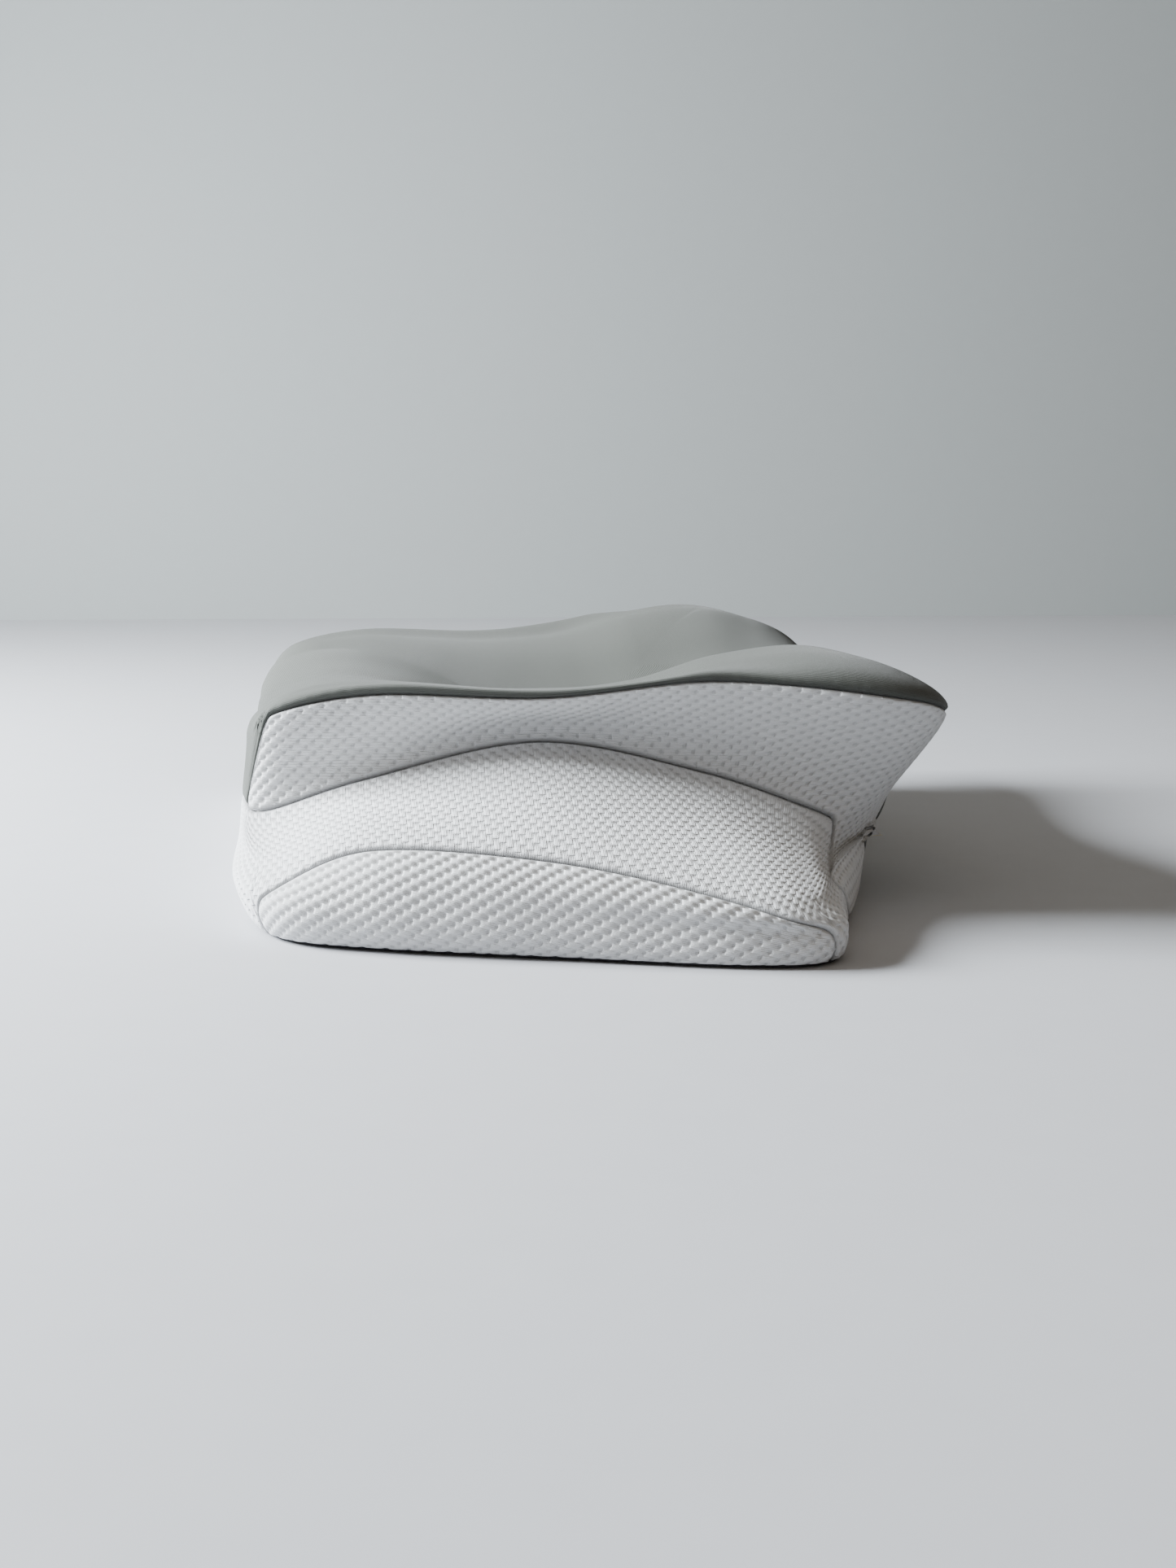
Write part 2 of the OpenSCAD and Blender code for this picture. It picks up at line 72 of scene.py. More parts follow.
WAIST_RING = [[-98, 0, 0.64], [-98, -42, 0.64], [-98, -64, 0.62],
              [-91.5, -73.5, 0.6], [-64, -76.5, 0.79], [-16.5, -77, 1],
              [28, -83.5, 0.84], [59.5, -89, 0.62], [74, -83, 0.47],
              [91, -57.5, 0.56], [96, 0, 0.65]]
RIM_RING = [[-97, 0, 17], [-97, -42, 18], [-95.5, -64.5, 20], [-88.5, -75, 7],
            [-60.5, -80.5, 2], [-15, -86.5, -1], [32, -93.5, 5],
            [82.5, -100, 13], [99, -83, 16], [99.5, -44, 12], [97, 0, 4]]

LOWER_FROM, LOWER_TO = 2.75, 6.95
BAND_NARROWS, BAND_ENDS = 7.3, 8.6
UPPER_FROM, UPPER_FULL, UPPER_NARROWS, UPPER_TO = 2.3, 2.95, 8.4, 9.0
HEM_V = 0.06
SEAM_V = 0.006


def smooth(t):
    c = np.clip(t, 0, 1)
    return c * c * (3 - 2 * c)


def hermite(p0, m0, p1, m1, t):
    t2, t3 = t * t, t * t * t
    return ((2 * t3 - 3 * t2 + 1) * p0 + (t3 - 2 * t2 + t) * m0
            + (3 * t2 - 2 * t3) * p1 + (t3 - t2) * m1)


def profile(xs, ys, x):
    xs, ys = np.array(xs, float), np.array(ys, float)
    n = len(xs)
    tangent = np.array([(ys[min(i + 1, n - 1)] - ys[max(i - 1, 0)])
                        / (xs[min(i + 1, n - 1)] - xs[max(i - 1, 0)]) for i in range(n)])
    c = np.clip(x, xs[0], xs[-1])
    i = np.clip(np.searchsorted(xs, c, side="right") - 1, 0, n - 2)
    w = xs[i + 1] - xs[i]
    return hermite(ys[i], tangent[i] * w, ys[i + 1], tangent[i + 1] * w, (c - xs[i]) / w)


def crown(x, y):
    p = 100 * x / HALF_W
    t = smooth((np.abs(y) - CRADLE_Y) / (WING_Y - CRADLE_Y))
    return profile(CROWN_X, CROWN_MID, p) * (1 - t) + profile(CROWN_X, CROWN_END, p) * t


def whole(ring, length, rise, drop=False):
    out = []
    for i in range(STATIONS):
        px, py, pz = ring[STATIONS - i if i > 10 else i]
        x, y = px * HALF_W / 100, py * length / 100
        z = float(crown(np.array(x), np.array(y))) - pz if drop else pz * rise
        out.append([x, -y if i > 10 else y, z])
    return np.array(out)


CAGE = [whole(REST_RING, HALF_L, 1), whole(BULGE_RING, HALF_L, BULGE_H),
        whole(LEDGE_RING, HALF_L, LEDGE_H), whole(WAIST_RING, HALF_WING, WAIST_H),
        whole(RIM_RING, HALF_WING, 1, True)]


def on_ring(k, s):
    i = np.floor(s).astype(int)
    t = (s - i)[..., None]
    c = CAGE[k]
    p0, p1, p2, p3 = (c[(i + d) % STATIONS] for d in (-1, 0, 1, 2))
    return 0.5 * (2 * p1 + (p2 - p0) * t + (2 * p0 - 5 * p1 + 4 * p2 - p3) * t ** 2
                  + (3 * p1 - p0 - 3 * p2 + p3) * t ** 3)


def leans(rings):
    away = rings[0] - np.array([CENTRE_X, 0, 0])
    away[..., 2] = 0
    away /= np.linalg.norm(away, axis=-1, keepdims=True)
    first = away * 22 + np.array([0, 0, 6])
    last = (rings[4] - rings[3]) * 0.25 + np.array([0, 0, 28])
    return [first] + [(rings[k + 1] - rings[k - 1]) / 2 for k in (1, 2, 3)] + [last]


def place(s, v):
    """Points of the outer surface, for arrays of stations and heights of one shape."""
    s, v = np.broadcast_arrays(np.asarray(s, float), np.asarray(v, float))
    rings = [on_ring(k, s) for k in range(5)]
    lean = leans(rings)
    low = np.clip(np.floor(v), 0, 3).astype(int)[..., None]
    stack_r, stack_l = np.stack(rings), np.stack(lean)
    pick = lambda stack, k: np.take_along_axis(stack, k[None], 0)[0]
    wide = np.broadcast_to(low, s.shape + (3,))
    t = (np.minimum(v, 4) - low[..., 0])[..., None]
    side = hermite(pick(stack_r, wide), pick(stack_l, wide),
                   pick(stack_r, wide + 1), pick(stack_l, wide + 1), t)
    u = np.clip(v - 4, 0, 1)
    rim = rings[4]
    d = rim[..., :2] - np.array([CENTRE_X, 0])
    reach = np.linalg.norm(d, axis=-1)
    a = np.minimum(u / RIM_SHARE, 1) * math.pi / 2
    drop = crown(rim[..., 0], rim[..., 1]) - rim[..., 2]
    deep = smooth(drop / ROLL_DROP)
    r = ROLL_R + (RIM_R - ROLL_R) * deep
    inset = np.where(u < RIM_SHARE, r * (1 - np.cos(a)),
                     r + (reach - r) * (u - RIM_SHARE) / (1 - RIM_SHARE))
    lift = ROLL_LIFT * (1 - deep)
    swell = (drop + lift) / lean[4][..., 2] * np.sin(a) * (1 - np.sin(a))
    xy = (np.array([CENTRE_X, 0]) + d * (1 - inset / reach)[..., None]
          + lean[4][..., :2] * swell[..., None])
    z = crown(xy[..., 0], xy[..., 1]) + (lift * np.sin(a) - drop) * (1 - np.sin(a))
    over = np.concatenate([xy, z[..., None]], -1)
    return np.where((v > 4)[..., None], over, side)


def outward(s, v, step=0.06, rise_step=0.14):
    v = np.clip(v, 0, 5 - rise_step - step)
    ds = place(s + step, v) - place(s - step, v)
    dv = place(s, v + rise_step) - place(s, np.maximum(v - rise_step, 0))
    n = np.cross(ds, dv)
    return n / np.maximum(np.linalg.norm(n, axis=-1, keepdims=True), 1e-9)


def mirrored(s):
    t = np.mod(s, STATIONS)
    return np.where(t > 10, STATIONS - t, t)


def band_top(s):
    return 3 * (1 - smooth((mirrored(s) - BAND_NARROWS) / (BAND_ENDS - BAND_NARROWS)))


def knit_top(s):
    m, b = mirrored(s), band_top(s)
    w = (smooth((m - UPPER_FROM) / (UPPER_FULL - UPPER_FROM))
         * smooth((UPPER_TO - m) / (UPPER_TO - UPPER_NARROWS)))
    return b + (4 - b) * w


def ledge_seam(s):
    middle, half = (LOWER_FROM + LOWER_TO) / 2, (LOWER_TO - LOWER_FROM) / 2
    q = np.minimum(np.abs(mirrored(s) - middle) / half, 1)
    return 2 * (1 - q ** 3.2) ** 0.42


# ---------------------------------------------------------------- grids
def even_stations(start, end, at_v, spacing, multiple=4):
    """Stations an even number of millimetres apart along one level of the side."""
    fine = np.linspace(start, end, 4000)
    p = place(fine, np.full_like(fine, at_v))
    run = np.concatenate([[0], np.cumsum(np.linalg.norm(np.diff(p, axis=0), axis=1))])
    n = max(multiple, int(math.ceil(run[-1] / spacing / multiple)) * multiple)
    return np.interp(np.linspace(0, run[-1], n + 1), run, fine)


def even_rows(s, low, high, shares, fine=160):
    """Heights v, a row for each share of the way from low to high, even in millimetres."""
    t = np.linspace(0, 1, fine)[:, None]
    v = low[None] + (high - low)[None] * t
    p = place(np.broadcast_to(s, v.shape), v)
    run = np.concatenate([np.zeros((1, len(s))),
                          np.cumsum(np.linalg.norm(np.diff(p, axis=0), axis=2), 0)])
    out = np.empty((len(shares), len(s)))
    for j in range(len(s)):
        out[:, j] = np.interp(np.array(shares) * run[-1, j], run[:, j], v[:, j])
    return out


def runs_up(s, v, base_v):
    """Millimetres up the side from level base_v to each v, and that level's own height."""
    fine = np.linspace(0, 5, 600)[:, None]
    p = place(np.broadcast_to(s, (600, len(s))), np.broadcast_to(fine, (600, len(s))))
    run = np.concatenate([np.zeros((1, len(s))),
                          np.cumsum(np.linalg.norm(np.diff(p, axis=0), axis=2), 0)])
    out = np.empty_like(v)
    for j in range(len(s)):
        zero = np.interp(base_v, fine[:, 0], run[:, j])
        out[:, j] = np.interp(v[:, j], fine[:, 0], run[:, j]) - zero
    return out, place(s, np.full_like(s, base_v))[:, 2]


def runs_along(s, at_v, zero_s):
    p = place(s, np.full_like(s, at_v))
    run = np.concatenate([[0], np.cumsum(np.linalg.norm(np.diff(p, axis=0), axis=1))])
    return run - np.interp(zero_s, s, run)


def distance_to(points, lines):
    """Millimetres from each point to the nearest of the seam's points."""
    seam = np.concatenate(lines)
    tree = kdtree.KDTree(len(seam))
    for i, p in enumerate(seam):
        tree.insert(p, i)
    tree.balance()
    flat = points.reshape(-1, 3)
    return np.array([tree.find(p)[2] for p in flat]).reshape(points.shape[:-1])


# ---------------------------------------------------------------- meshes
def mesh_piece(name, points, quads, tris, cloth=None, marks=None, smooth_faces=True):
    """A mesh object from points in millimetres, with its cloth coordinates and marks."""
    mesh = bpy.data.meshes.new(name)
    quads = np.asarray(quads, np.int32).reshape(-1, 4)
    tris = np.asarray(tris, np.int32).reshape(-1, 3)
    loops = np.concatenate([quads.ravel(), tris.ravel()])
    starts = np.concatenate([np.arange(len(quads)) * 4,
                             len(quads) * 4 + np.arange(len(tris)) * 3])
    mesh.vertices.add(len(points))
    mesh.vertices.foreach_set("co", (np.asarray(points) * MM).astype(np.float32).ravel())
    mesh.loops.add(len(loops))
    mesh.loops.foreach_set("vertex_index", loops.astype(np.int32))
    mesh.polygons.add(len(starts))
    mesh.polygons.foreach_set("loop_start", starts.astype(np.int32))
    if cloth is not None:
        layer = mesh.uv_layers.new(name="cloth")
        layer.data.foreach_set("uv", np.asarray(cloth)[loops].astype(np.float32).ravel())
    for mark, values in (marks or {}).items():
        attribute = mesh.attributes.new(mark, "FLOAT", "POINT")
        attribute.data.foreach_set("value", np.asarray(values, np.float32).ravel())
    mesh.update(calc_edges=True)
    mesh.validate()
    mesh.polygons.foreach_set("use_smooth", np.full(len(starts), smooth_faces))
    obj = bpy.data.objects.new(name, mesh)
    bpy.context.scene.collection.objects.link(obj)
    return obj


def grid_quads(rows, columns, first=0, wrap=False, turned=False):
    i, j = np.meshgrid(np.arange(rows - 1), np.arange(columns if wrap else columns - 1),
                       indexing="ij")
    a = first + i * columns + j
    b = first + i * columns + (j + 1) % columns
    quads = np.stack([a, b, b + columns, a + columns], -1).reshape(-1, 4)
    return quads[:, ::-1] if turned else quads


def bridge(fine, coarse, wrap=False):
    """Triangles between a border of fine points and one with every k-th of them."""
    segments = len(coarse) if wrap else len(coarse) - 1
    k = len(fine) // segments if wrap else (len(fine) - 1) // segments
    tris = []
    for j in range(segments):
        c0, c1 = coarse[j], coarse[(j + 1) % len(coarse)]
        run = [fine[(j * k + i) % len(fine)] for i in range(k + 1)]
        middle = k // 2
        for i in range(k):
            tris.append([run[i + 1], run[i], c0 if i < middle else c1])
        tris.append([c0, c1, run[middle]])
    return np.array(tris)


def closed_panel(name, outer, inner, k, cloth, marks, dome=False):
    """A panel with its finished face outside, a plainer one inside and closed edges."""
    rows, columns = outer.shape[:2]
    back = inner[::k, ::k]
    r2, c2 = back.shape[:2]
    o = rows * columns
    front_id = np.arange(o).reshape(rows, columns)
    back_id = o + np.arange(r2 * c2).reshape(r2, c2)
    points = [outer.reshape(-1, 3), back.reshape(-1, 3)]
    quads = [grid_quads(rows, columns, 0, dome), grid_quads(r2, c2, o, dome, True)]
    tris = [bridge(front_id[0], back_id[0], dome)]
    if dome:
        poles = np.array([outer[-1].mean(0), back[-1].mean(0)])
        points.append(poles)
        top, low = o + r2 * c2, o + r2 * c2 + 1
        f, b = front_id[-1], back_id[-1]
        tris.append(np.stack([f, np.roll(f, -1), np.full(len(f), top)], -1))
        tris.append(np.stack([np.roll(b, -1), b, np.full(len(b), low)], -1))
    else:
        tris.append(bridge(front_id[-1][::-1], back_id[-1][::-1]))
        tris.append(bridge(front_id[::-1, 0], back_id[::-1, 0]))
        tris.append(bridge(front_id[:, -1], back_id[:, -1]))
    points = np.concatenate(points)
    extra = len(points) - o
    flat_cloth = np.concatenate([cloth.reshape(-1, 2), np.zeros((extra, 2))])
    flat_cloth[o:o + r2 * c2] = cloth[::k, ::k].reshape(-1, 2)
    if dome:
        flat_cloth[-2] = cloth[-1].mean(0)
    flat = {m: np.concatenate([w.ravel(), np.zeros(extra)]) for m, w in marks.items()}
    return mesh_piece(name, points, np.concatenate(quads), np.concatenate(tris),
                      flat_cloth, flat)


def flipped(obj, name):
    """The same piece on the far side of the pillow, mirrored, with its faces outwards."""
    mesh = obj.data.copy()
    mesh.transform(Matrix.Scale(-1, 4, (0, 1, 0)))
    mesh.flip_normals()
    mesh.name = name
    other = bpy.data.objects.new(name, mesh)
    bpy.context.scene.collection.objects.link(other)
    return other


# ---------------------------------------------------------------- knit
# The quilted knit's hollows sit on a slanting lattice: CELL apart along a
# thread, each row ROW lower and SHIFT further back.
CELL, ROW, SHIFT = 8.4, 3.2, 3.3
SEAM_DEPTH, SEAM_WIDTH = 1.5, 1.15
SKIN = 3.0


def hollows(p, q):
    """How deep the knit is drawn in at p along a thread and q across it: 0 to 1."""
    total = np.zeros_like(p)
    nearest = np.round(q / ROW)
    for step in (-1, 0, 1):
        j = nearest + step
        dq = q - ROW * j
        along = p + SHIFT * j
        dp = along - CELL * np.round(along / CELL)
        width = np.where(dp > 0, 0.95, 1.9)
        total += np.exp(-(dp / width) ** 2 - (dq / 1.15) ** 2)
    return np.clip(total, 0, 1)


def grooves(p, q):
    """Soft grooves along the slanting rows of hollows: 1 in a groove, 0 on a rib."""
    size = math.hypot(ROW, SHIFT)
    t = (ROW * p + SHIFT * q) / size
    return 0.5 + 0.5 * np.cos(2 * math.pi * t / (CELL * ROW / size))


def drift(p, q, seed):
    """A slow, soft unevenness between -1 and 1."""
    rng = np.random.default_rng(seed)
    total = np.zeros_like(p)
    for _ in range(6):
        a, w, f = rng.uniform(0, 2 * math.pi), rng.uniform(28, 90), rng.uniform(0, 6.28)
        total += np.sin((p * math.cos(a) + q * math.sin(a)) * 2 * math.pi / w + f)
    return total / 6


def seam_roll(e):
    return SEAM_DEPTH * np.exp(-(e / SEAM_WIDTH) ** 2) + 0.7 * np.exp(-e / 5.5)


def quilted_panel(name, start, end, low, high, spacing, at_v, turn, pit, rib, seed):
    """One quilted panel between two seam lines, its threads turned by an angle."""
    s = even_stations(start, end, at_v, spacing)
    lo, hi = low(s), high(s)
    length = np.linalg.norm(place(s, hi) - place(s, lo), axis=1).max()
    rows = int(math.ceil(length * 1.06 / spacing / 4)) * 4
    shares = np.linspace(0, 1, rows + 1)
    v = even_rows(s, lo, hi, shares)
    grid_s = np.broadcast_to(s, v.shape)
    base, normal = place(grid_s, v), outward(grid_s, v)
    edges = [base[0], base[-1], base[:, 0], base[:, -1]]
    e = distance_to(base, edges)
    up, zero_z = runs_up(s, v, at_v)
    along = runs_along(s, at_v, 5.0) if start < 5 < end else runs_along(s, at_v, start)
    rise = up + zero_z[None]
    run = np.broadcast_to(along, v.shape)
    c, d = math.cos(turn), math.sin(turn)
    p, q = run * c - rise * d, -run * d - rise * c
    p = p + 0.7 * drift(run, rise, seed)
    q = q + 0.5 * drift(run, rise, seed + 1)
    fade = smooth((e - 0.6) / 2.2)
    depth = hollows(p, q)
    waves = 1 + 0.25 * drift(run, rise, seed + 2)
    out = (-pit * depth * fade * waves - rib * grooves(p, q) * fade - seam_roll(e)
           + 0.5 * drift(run * 0.8, rise * 0.8, seed + 3) * smooth(e / 12))
    outer = base + normal * out[..., None]
    inner = base - normal * SKIN
    for sheet in (outer, inner):
        sheet[..., 2] = np.maximum(sheet[..., 2], 0.25)
    cloth = np.stack([p, q], -1)
    # Marks for the material's painted shade: how deep each hollow is, and how near the seam.
    marks = {"hollow": depth * fade, "seam": np.exp(-(e / 1.3) ** 2)}
    return closed_panel(name, outer, inner, 4, cloth, marks)


QUARTER = math.pi / 2
lower_near = quilted_panel(
    "lower_panel_near_knit", LOWER_FROM + 0.03, LOWER_TO - 0.02,
    lambda s: np.full_like(s, HEM_V),
    lambda s: np.maximum(ledge_seam(s) - SEAM_V, HEM_V + 0.06),
    1.0, 1.0, math.radians(10.8), 0.65, 0.1, 11)
upper_near = quilted_panel(
    "upper_panel_near_knit", UPPER_FROM + 0.14, UPPER_TO - 0.1,
    lambda s: np.maximum(band_top(s) + SEAM_V, HEM_V),
    lambda s: knit_top(s) - SEAM_V,
    1.0, 3.5, 0.0, 0.65, 0.08, 21)
band = quilted_panel(
    "side_band_knit", -(BAND_ENDS - 0.12), BAND_ENDS - 0.12,
    lambda s: np.maximum(ledge_seam(s) + SEAM_V, HEM_V),
    lambda s: np.maximum(band_top(s) - SEAM_V, HEM_V + 0.06),
    1.15, 2.4, -QUARTER, 0.5, 0.3, 31)
lower_far = flipped(lower_near, "lower_panel_far_knit")
upper_far = flipped(upper_near, "upper_panel_far_knit")


def top_panel():
    """Smooth knit over the top and down both long sides, drawn in along its seam."""
    s = even_stations(0, STATIONS, 4.0, 3.0, 8)[:-1]
    low = np.maximum(knit_top(s) + SEAM_V, HEM_V)
    count = 136
    t = np.linspace(0, 1, count + 1)
    shares = t - 0.04 * np.sin(math.pi * t) * (1 - t)
    shares = np.concatenate([[0, 0.0012, 0.0026, 0.0044], shares[1:]])[:count + 1]
    shares = np.sort(shares) / max(shares)
    v = even_rows(s, low, np.full_like(s, 4.99), shares, 260)
    grid_s = np.broadcast_to(s, v.shape)
    base, normal = place(grid_s, v), outward(grid_s, v)
    e = distance_to(base, [base[0]])
    run = np.broadcast_to(runs_along(s, 4.0, 5.0), v.shape)
    up = e
    m = mirrored(grid_s)
    gather = (smooth((m - 2.6) / 0.5) * smooth((4.3 - m) / 0.6)
              + smooth((m - 5.6) / 0.6) * smooth((8.6 - m) / 0.8))
    pucker = np.abs(np.sin(run * math.pi / 7.5 + 1.4 * drift(run, up, 5)))
    out = (-seam_roll(e) - 0.45 * gather * pucker * np.exp(-(up / 7.0) ** 2) * smooth(e / 1.2)
           + 0.6 * drift(base[..., 0], base[..., 1], 7) * smooth(e / 25))
    outer = base + normal * out[..., None]
    inner = base - normal * SKIN
    for sheet in (outer, inner):
        sheet[..., 2] = np.maximum(sheet[..., 2], 0.25)
    cloth = np.stack([run, up], -1)
    # Marks for the material's painted shade: no hollows here, and how near the seam.
    marks = {"hollow": np.zeros_like(e), "seam": np.exp(-(e / 1.3) ** 2)}
    return closed_panel("top_panel_knit", outer, inner, 8, cloth, marks, dome=True)


top = top_panel()


def skin_tree():
    """The outer surface as a tree for finding how deep a point lies."""
    s, v = np.linspace(0, STATIONS, 321)[:-1], np.linspace(0, 4.99, 81)
    points = place(*np.meshgrid(s, v))
    return BVHTree.FromPolygons([Vector(q) for q in points.reshape(-1, 3)],
                                grid_quads(81, 320, 0, True).tolist())


SKIN_TREE = skin_tree()
# How the layers inside are kept inside: the height of the heart they are drawn to,
# the share of each step and the most steps, and the least depth as a share of the inset
HEART_Z, STEP_IN, MOST_STEPS, LEAST_DEPTH = 40.0, 0.05, 24, 0.8
FOAM_INSET, LINER_INSET, INNER_SPACING = 8.0, 6.4, 7.0


def inner_body(name, inset, spacing):
    """A closed crowned body inside the cover, drawn to its heart where it lies too shallow."""
    s = even_stations(0, STATIONS, 2.0, spacing, 4)[:-1]
    v = even_rows(s, np.full_like(s, 0.0), np.full_like(s, 4.99), np.linspace(0, 1, 61))
    grid_s = np.broadcast_to(s, v.shape)
    p = place(grid_s, v) - outward(grid_s, v) * inset
    flat = p.reshape(-1, 3)
    for k, point in enumerate(flat):
        heart = np.array([CENTRE_X + 0.5 * (point[0] - CENTRE_X), 0.5 * point[1], HEART_Z])
        for _ in range(MOST_STEPS):
            near, normal = SKIN_TREE.find_nearest(Vector(point))[:2]
            if (near - Vector(point)).dot(normal) > LEAST_DEPTH * inset:
                break
            point = point + (heart - point) * STEP_IN
        flat[k] = point
    p = flat.reshape(p.shape)
    p[..., 2] = np.maximum(p[..., 2], inset)
    rows, columns = v.shape
    low_pole, high_pole = p[0].mean(0), p[-1].mean(0)
    points = np.concatenate([p.reshape(-1, 3), [low_pole, high_pole]])
    first, last = np.arange(columns), (rows - 1) * columns + np.arange(columns)
    n = rows * columns
    tris = np.concatenate([
        np.stack([np.roll(first, -1), first, np.full(columns, n)], -1),
        np.stack([last, np.roll(last, -1), np.full(columns, n + 1)], -1)])
    return mesh_piece(name, points, grid_quads(rows, columns, 0, True), tris)


foam = inner_body("foam_block", FOAM_INSET, INNER_SPACING)
liner = inner_body("liner_sock", LINER_INSET, INNER_SPACING)


# ---------------------------------------------------------------- base and zip
# The base panel and zip, at the CAD part's own sizes, in millimetres.
BASE_T, TAPE_T, TAPE_Z, COIL_T, COIL_W = 2.0, 0.5, 4.4, 1.2, 2.2
COIL_GAP, TAPE_W, ZIP_L, SLOT_HALF = 1.6, 12.0, 400.0, 7.0
PULLER_L, SLIDER_L = 24.0, 12.0
ZIP_END = ZIP_L / 2 + PULLER_L - SLIDER_L + 3
COIL_Z = TAPE_Z + TAPE_T
# The base's gap at its middle seam, its inset at the foot and its rolled hem's radius
MIDDLE_GAP, FOOT_INSET, HEM_R = 0.35, 0.6, 1.1
FILAMENT, COIL_PITCH = 0.42, 1.3
STITCH_ROWS, STITCH_STEP = (SLOT_HALF + 1.9, SLOT_HALF + 3.4), 3.1


def closed_sheet(name, top_grid, low_grid):
    """A thin closed sheet from two grids of one size, its top grid facing up."""
    rows, columns = top_grid.shape[:2]
    o = rows * columns
    grid = np.arange(o).reshape(rows, columns)
    edge = np.concatenate([grid[0, :-1], grid[:-1, -1], grid[-1, :0:-1], grid[:0:-1, 0]])
    after = np.roll(edge, -1)
    walls = np.stack([after, edge, edge + o, after + o], -1)
    quads = np.concatenate([grid_quads(rows, columns), walls,
                            grid_quads(rows, columns, o, turned=True)])
    points = np.concatenate([top_grid.reshape(-1, 3), low_grid.reshape(-1, 3)])
    return mesh_piece(name, points, quads, [], points[:, :2])


def base_cloth(name, sign):
    """Half of the base: flat cloth from the zip out to the foot of the sides."""
    fine = np.linspace(-10, 10, 6000)
    ring = place(fine, np.zeros_like(fine))[:, :2]
    out = ring - np.array([CENTRE_X, 0])
    ring = ring - FOOT_INSET * out / np.linalg.norm(out, axis=1, keepdims=True)
    reach = ring[ring[:, 0] * sign > MIDDLE_GAP]
    end = np.abs(reach[:, 1]).max() - 0.05
    y = np.concatenate([np.linspace(-end, -ZIP_END - 0.6, 40)[:-1],
                        np.linspace(-ZIP_END, ZIP_END, 150),
                        np.linspace(ZIP_END + 0.6, end, 40)[1:]])
    inner_x, outer_x = np.empty(len(y)), np.empty(len(y))
    side = ring[::4]
    for k, level in enumerate(y):
        crossing = []
        a, b = side, np.roll(side, -1, 0)
        for hit in np.nonzero((a[:, 1] - level) * (b[:, 1] - level) <= 0)[0]:
            dy = b[hit, 1] - a[hit, 1]
            share = 0.5 if dy == 0 else (level - a[hit, 1]) / dy
            crossing.append(a[hit, 0] + share * (b[hit, 0] - a[hit, 0]))
        low, high = min(crossing), max(crossing)
        hem = SLOT_HALF if abs(level) <= ZIP_END else MIDDLE_GAP
        inner_x[k] = max(low, hem) if sign > 0 else min(high, -hem)
        outer_x[k] = high if sign > 0 else low
    shares = np.concatenate([np.linspace(0, 0.03, 9), np.linspace(0.05, 1, 22)])
    x = inner_x[:, None] + (outer_x - inner_x)[:, None] * shares
    yy = np.broadcast_to(y[:, None], x.shape)
    in_slot = (np.abs(yy) <= ZIP_END)
    from_hem = np.abs(x) - SLOT_HALF
    roll = np.where(in_slot, np.sqrt(np.clip(1 - ((from_hem - HEM_R) / HEM_R) ** 2, 0, 1)), 0)
    pull = 0.12 * np.sin(yy / 5.5) * np.exp(-np.abs(from_hem) / 6) * in_slot
    top_z = BASE_T + 1.9 * roll
    low_z = 0.12 + np.where(in_slot, 1.3 * np.exp(-from_hem / 0.7), 0) + np.abs(pull)
    upper = np.stack([x, yy, top_z], -1)
    lower = np.stack([x, yy, np.minimum(low_z, top_z - 0.4)], -1)
    if sign < 0:
        upper, lower = upper[:, ::-1], lower[:, ::-1]
    return closed_sheet(name, upper, lower)


def zip_tape(name, sign):
    """A woven tape with a corded edge beside the coil."""
    x = np.concatenate([np.linspace(0, 1.2, 7), np.linspace(1.8, TAPE_W - 0.6, 14),
                        np.linspace(TAPE_W - 0.3, TAPE_W, 3)])
    y = np.linspace(-ZIP_END, ZIP_END, 380)
    xx, yy = np.meshgrid(x, y)
    cord = 0.22 * np.clip(1 - ((xx - 0.6) / 0.6) ** 2, 0, 1)
    rib = 0.05 * np.sin(xx * 2 * math.pi / 1.5)
    low = TAPE_Z + 0.08 + rib + 0.04 * np.sin(yy * 1.7) - cord * 0.3
    high = TAPE_Z + TAPE_T - 0.06 + rib * 0.4
    upper = np.stack([sign * (COIL_GAP / 2 + xx), yy, high], -1)
    lower = np.stack([sign * (COIL_GAP / 2 + xx), yy, low], -1)
    if sign < 0:
        upper, lower = upper[:, ::-1], lower[:, ::-1]
    return closed_sheet(name, upper, lower)


def socket_in(tree, name, kind, value):
    made = tree.interface.new_socket(name=name, in_out="INPUT", socket_type=kind)
    made.default_value = value
    return made.identifier


def node_tree(name):
    tree = bpy.data.node_groups.new(name, "GeometryNodeTree")
    tree.interface.new_socket(name="Geometry", in_out="OUTPUT",
                              socket_type="NodeSocketGeometry")
    return tree, tree.nodes.new("NodeGroupInput"), tree.nodes.new("NodeGroupOutput")


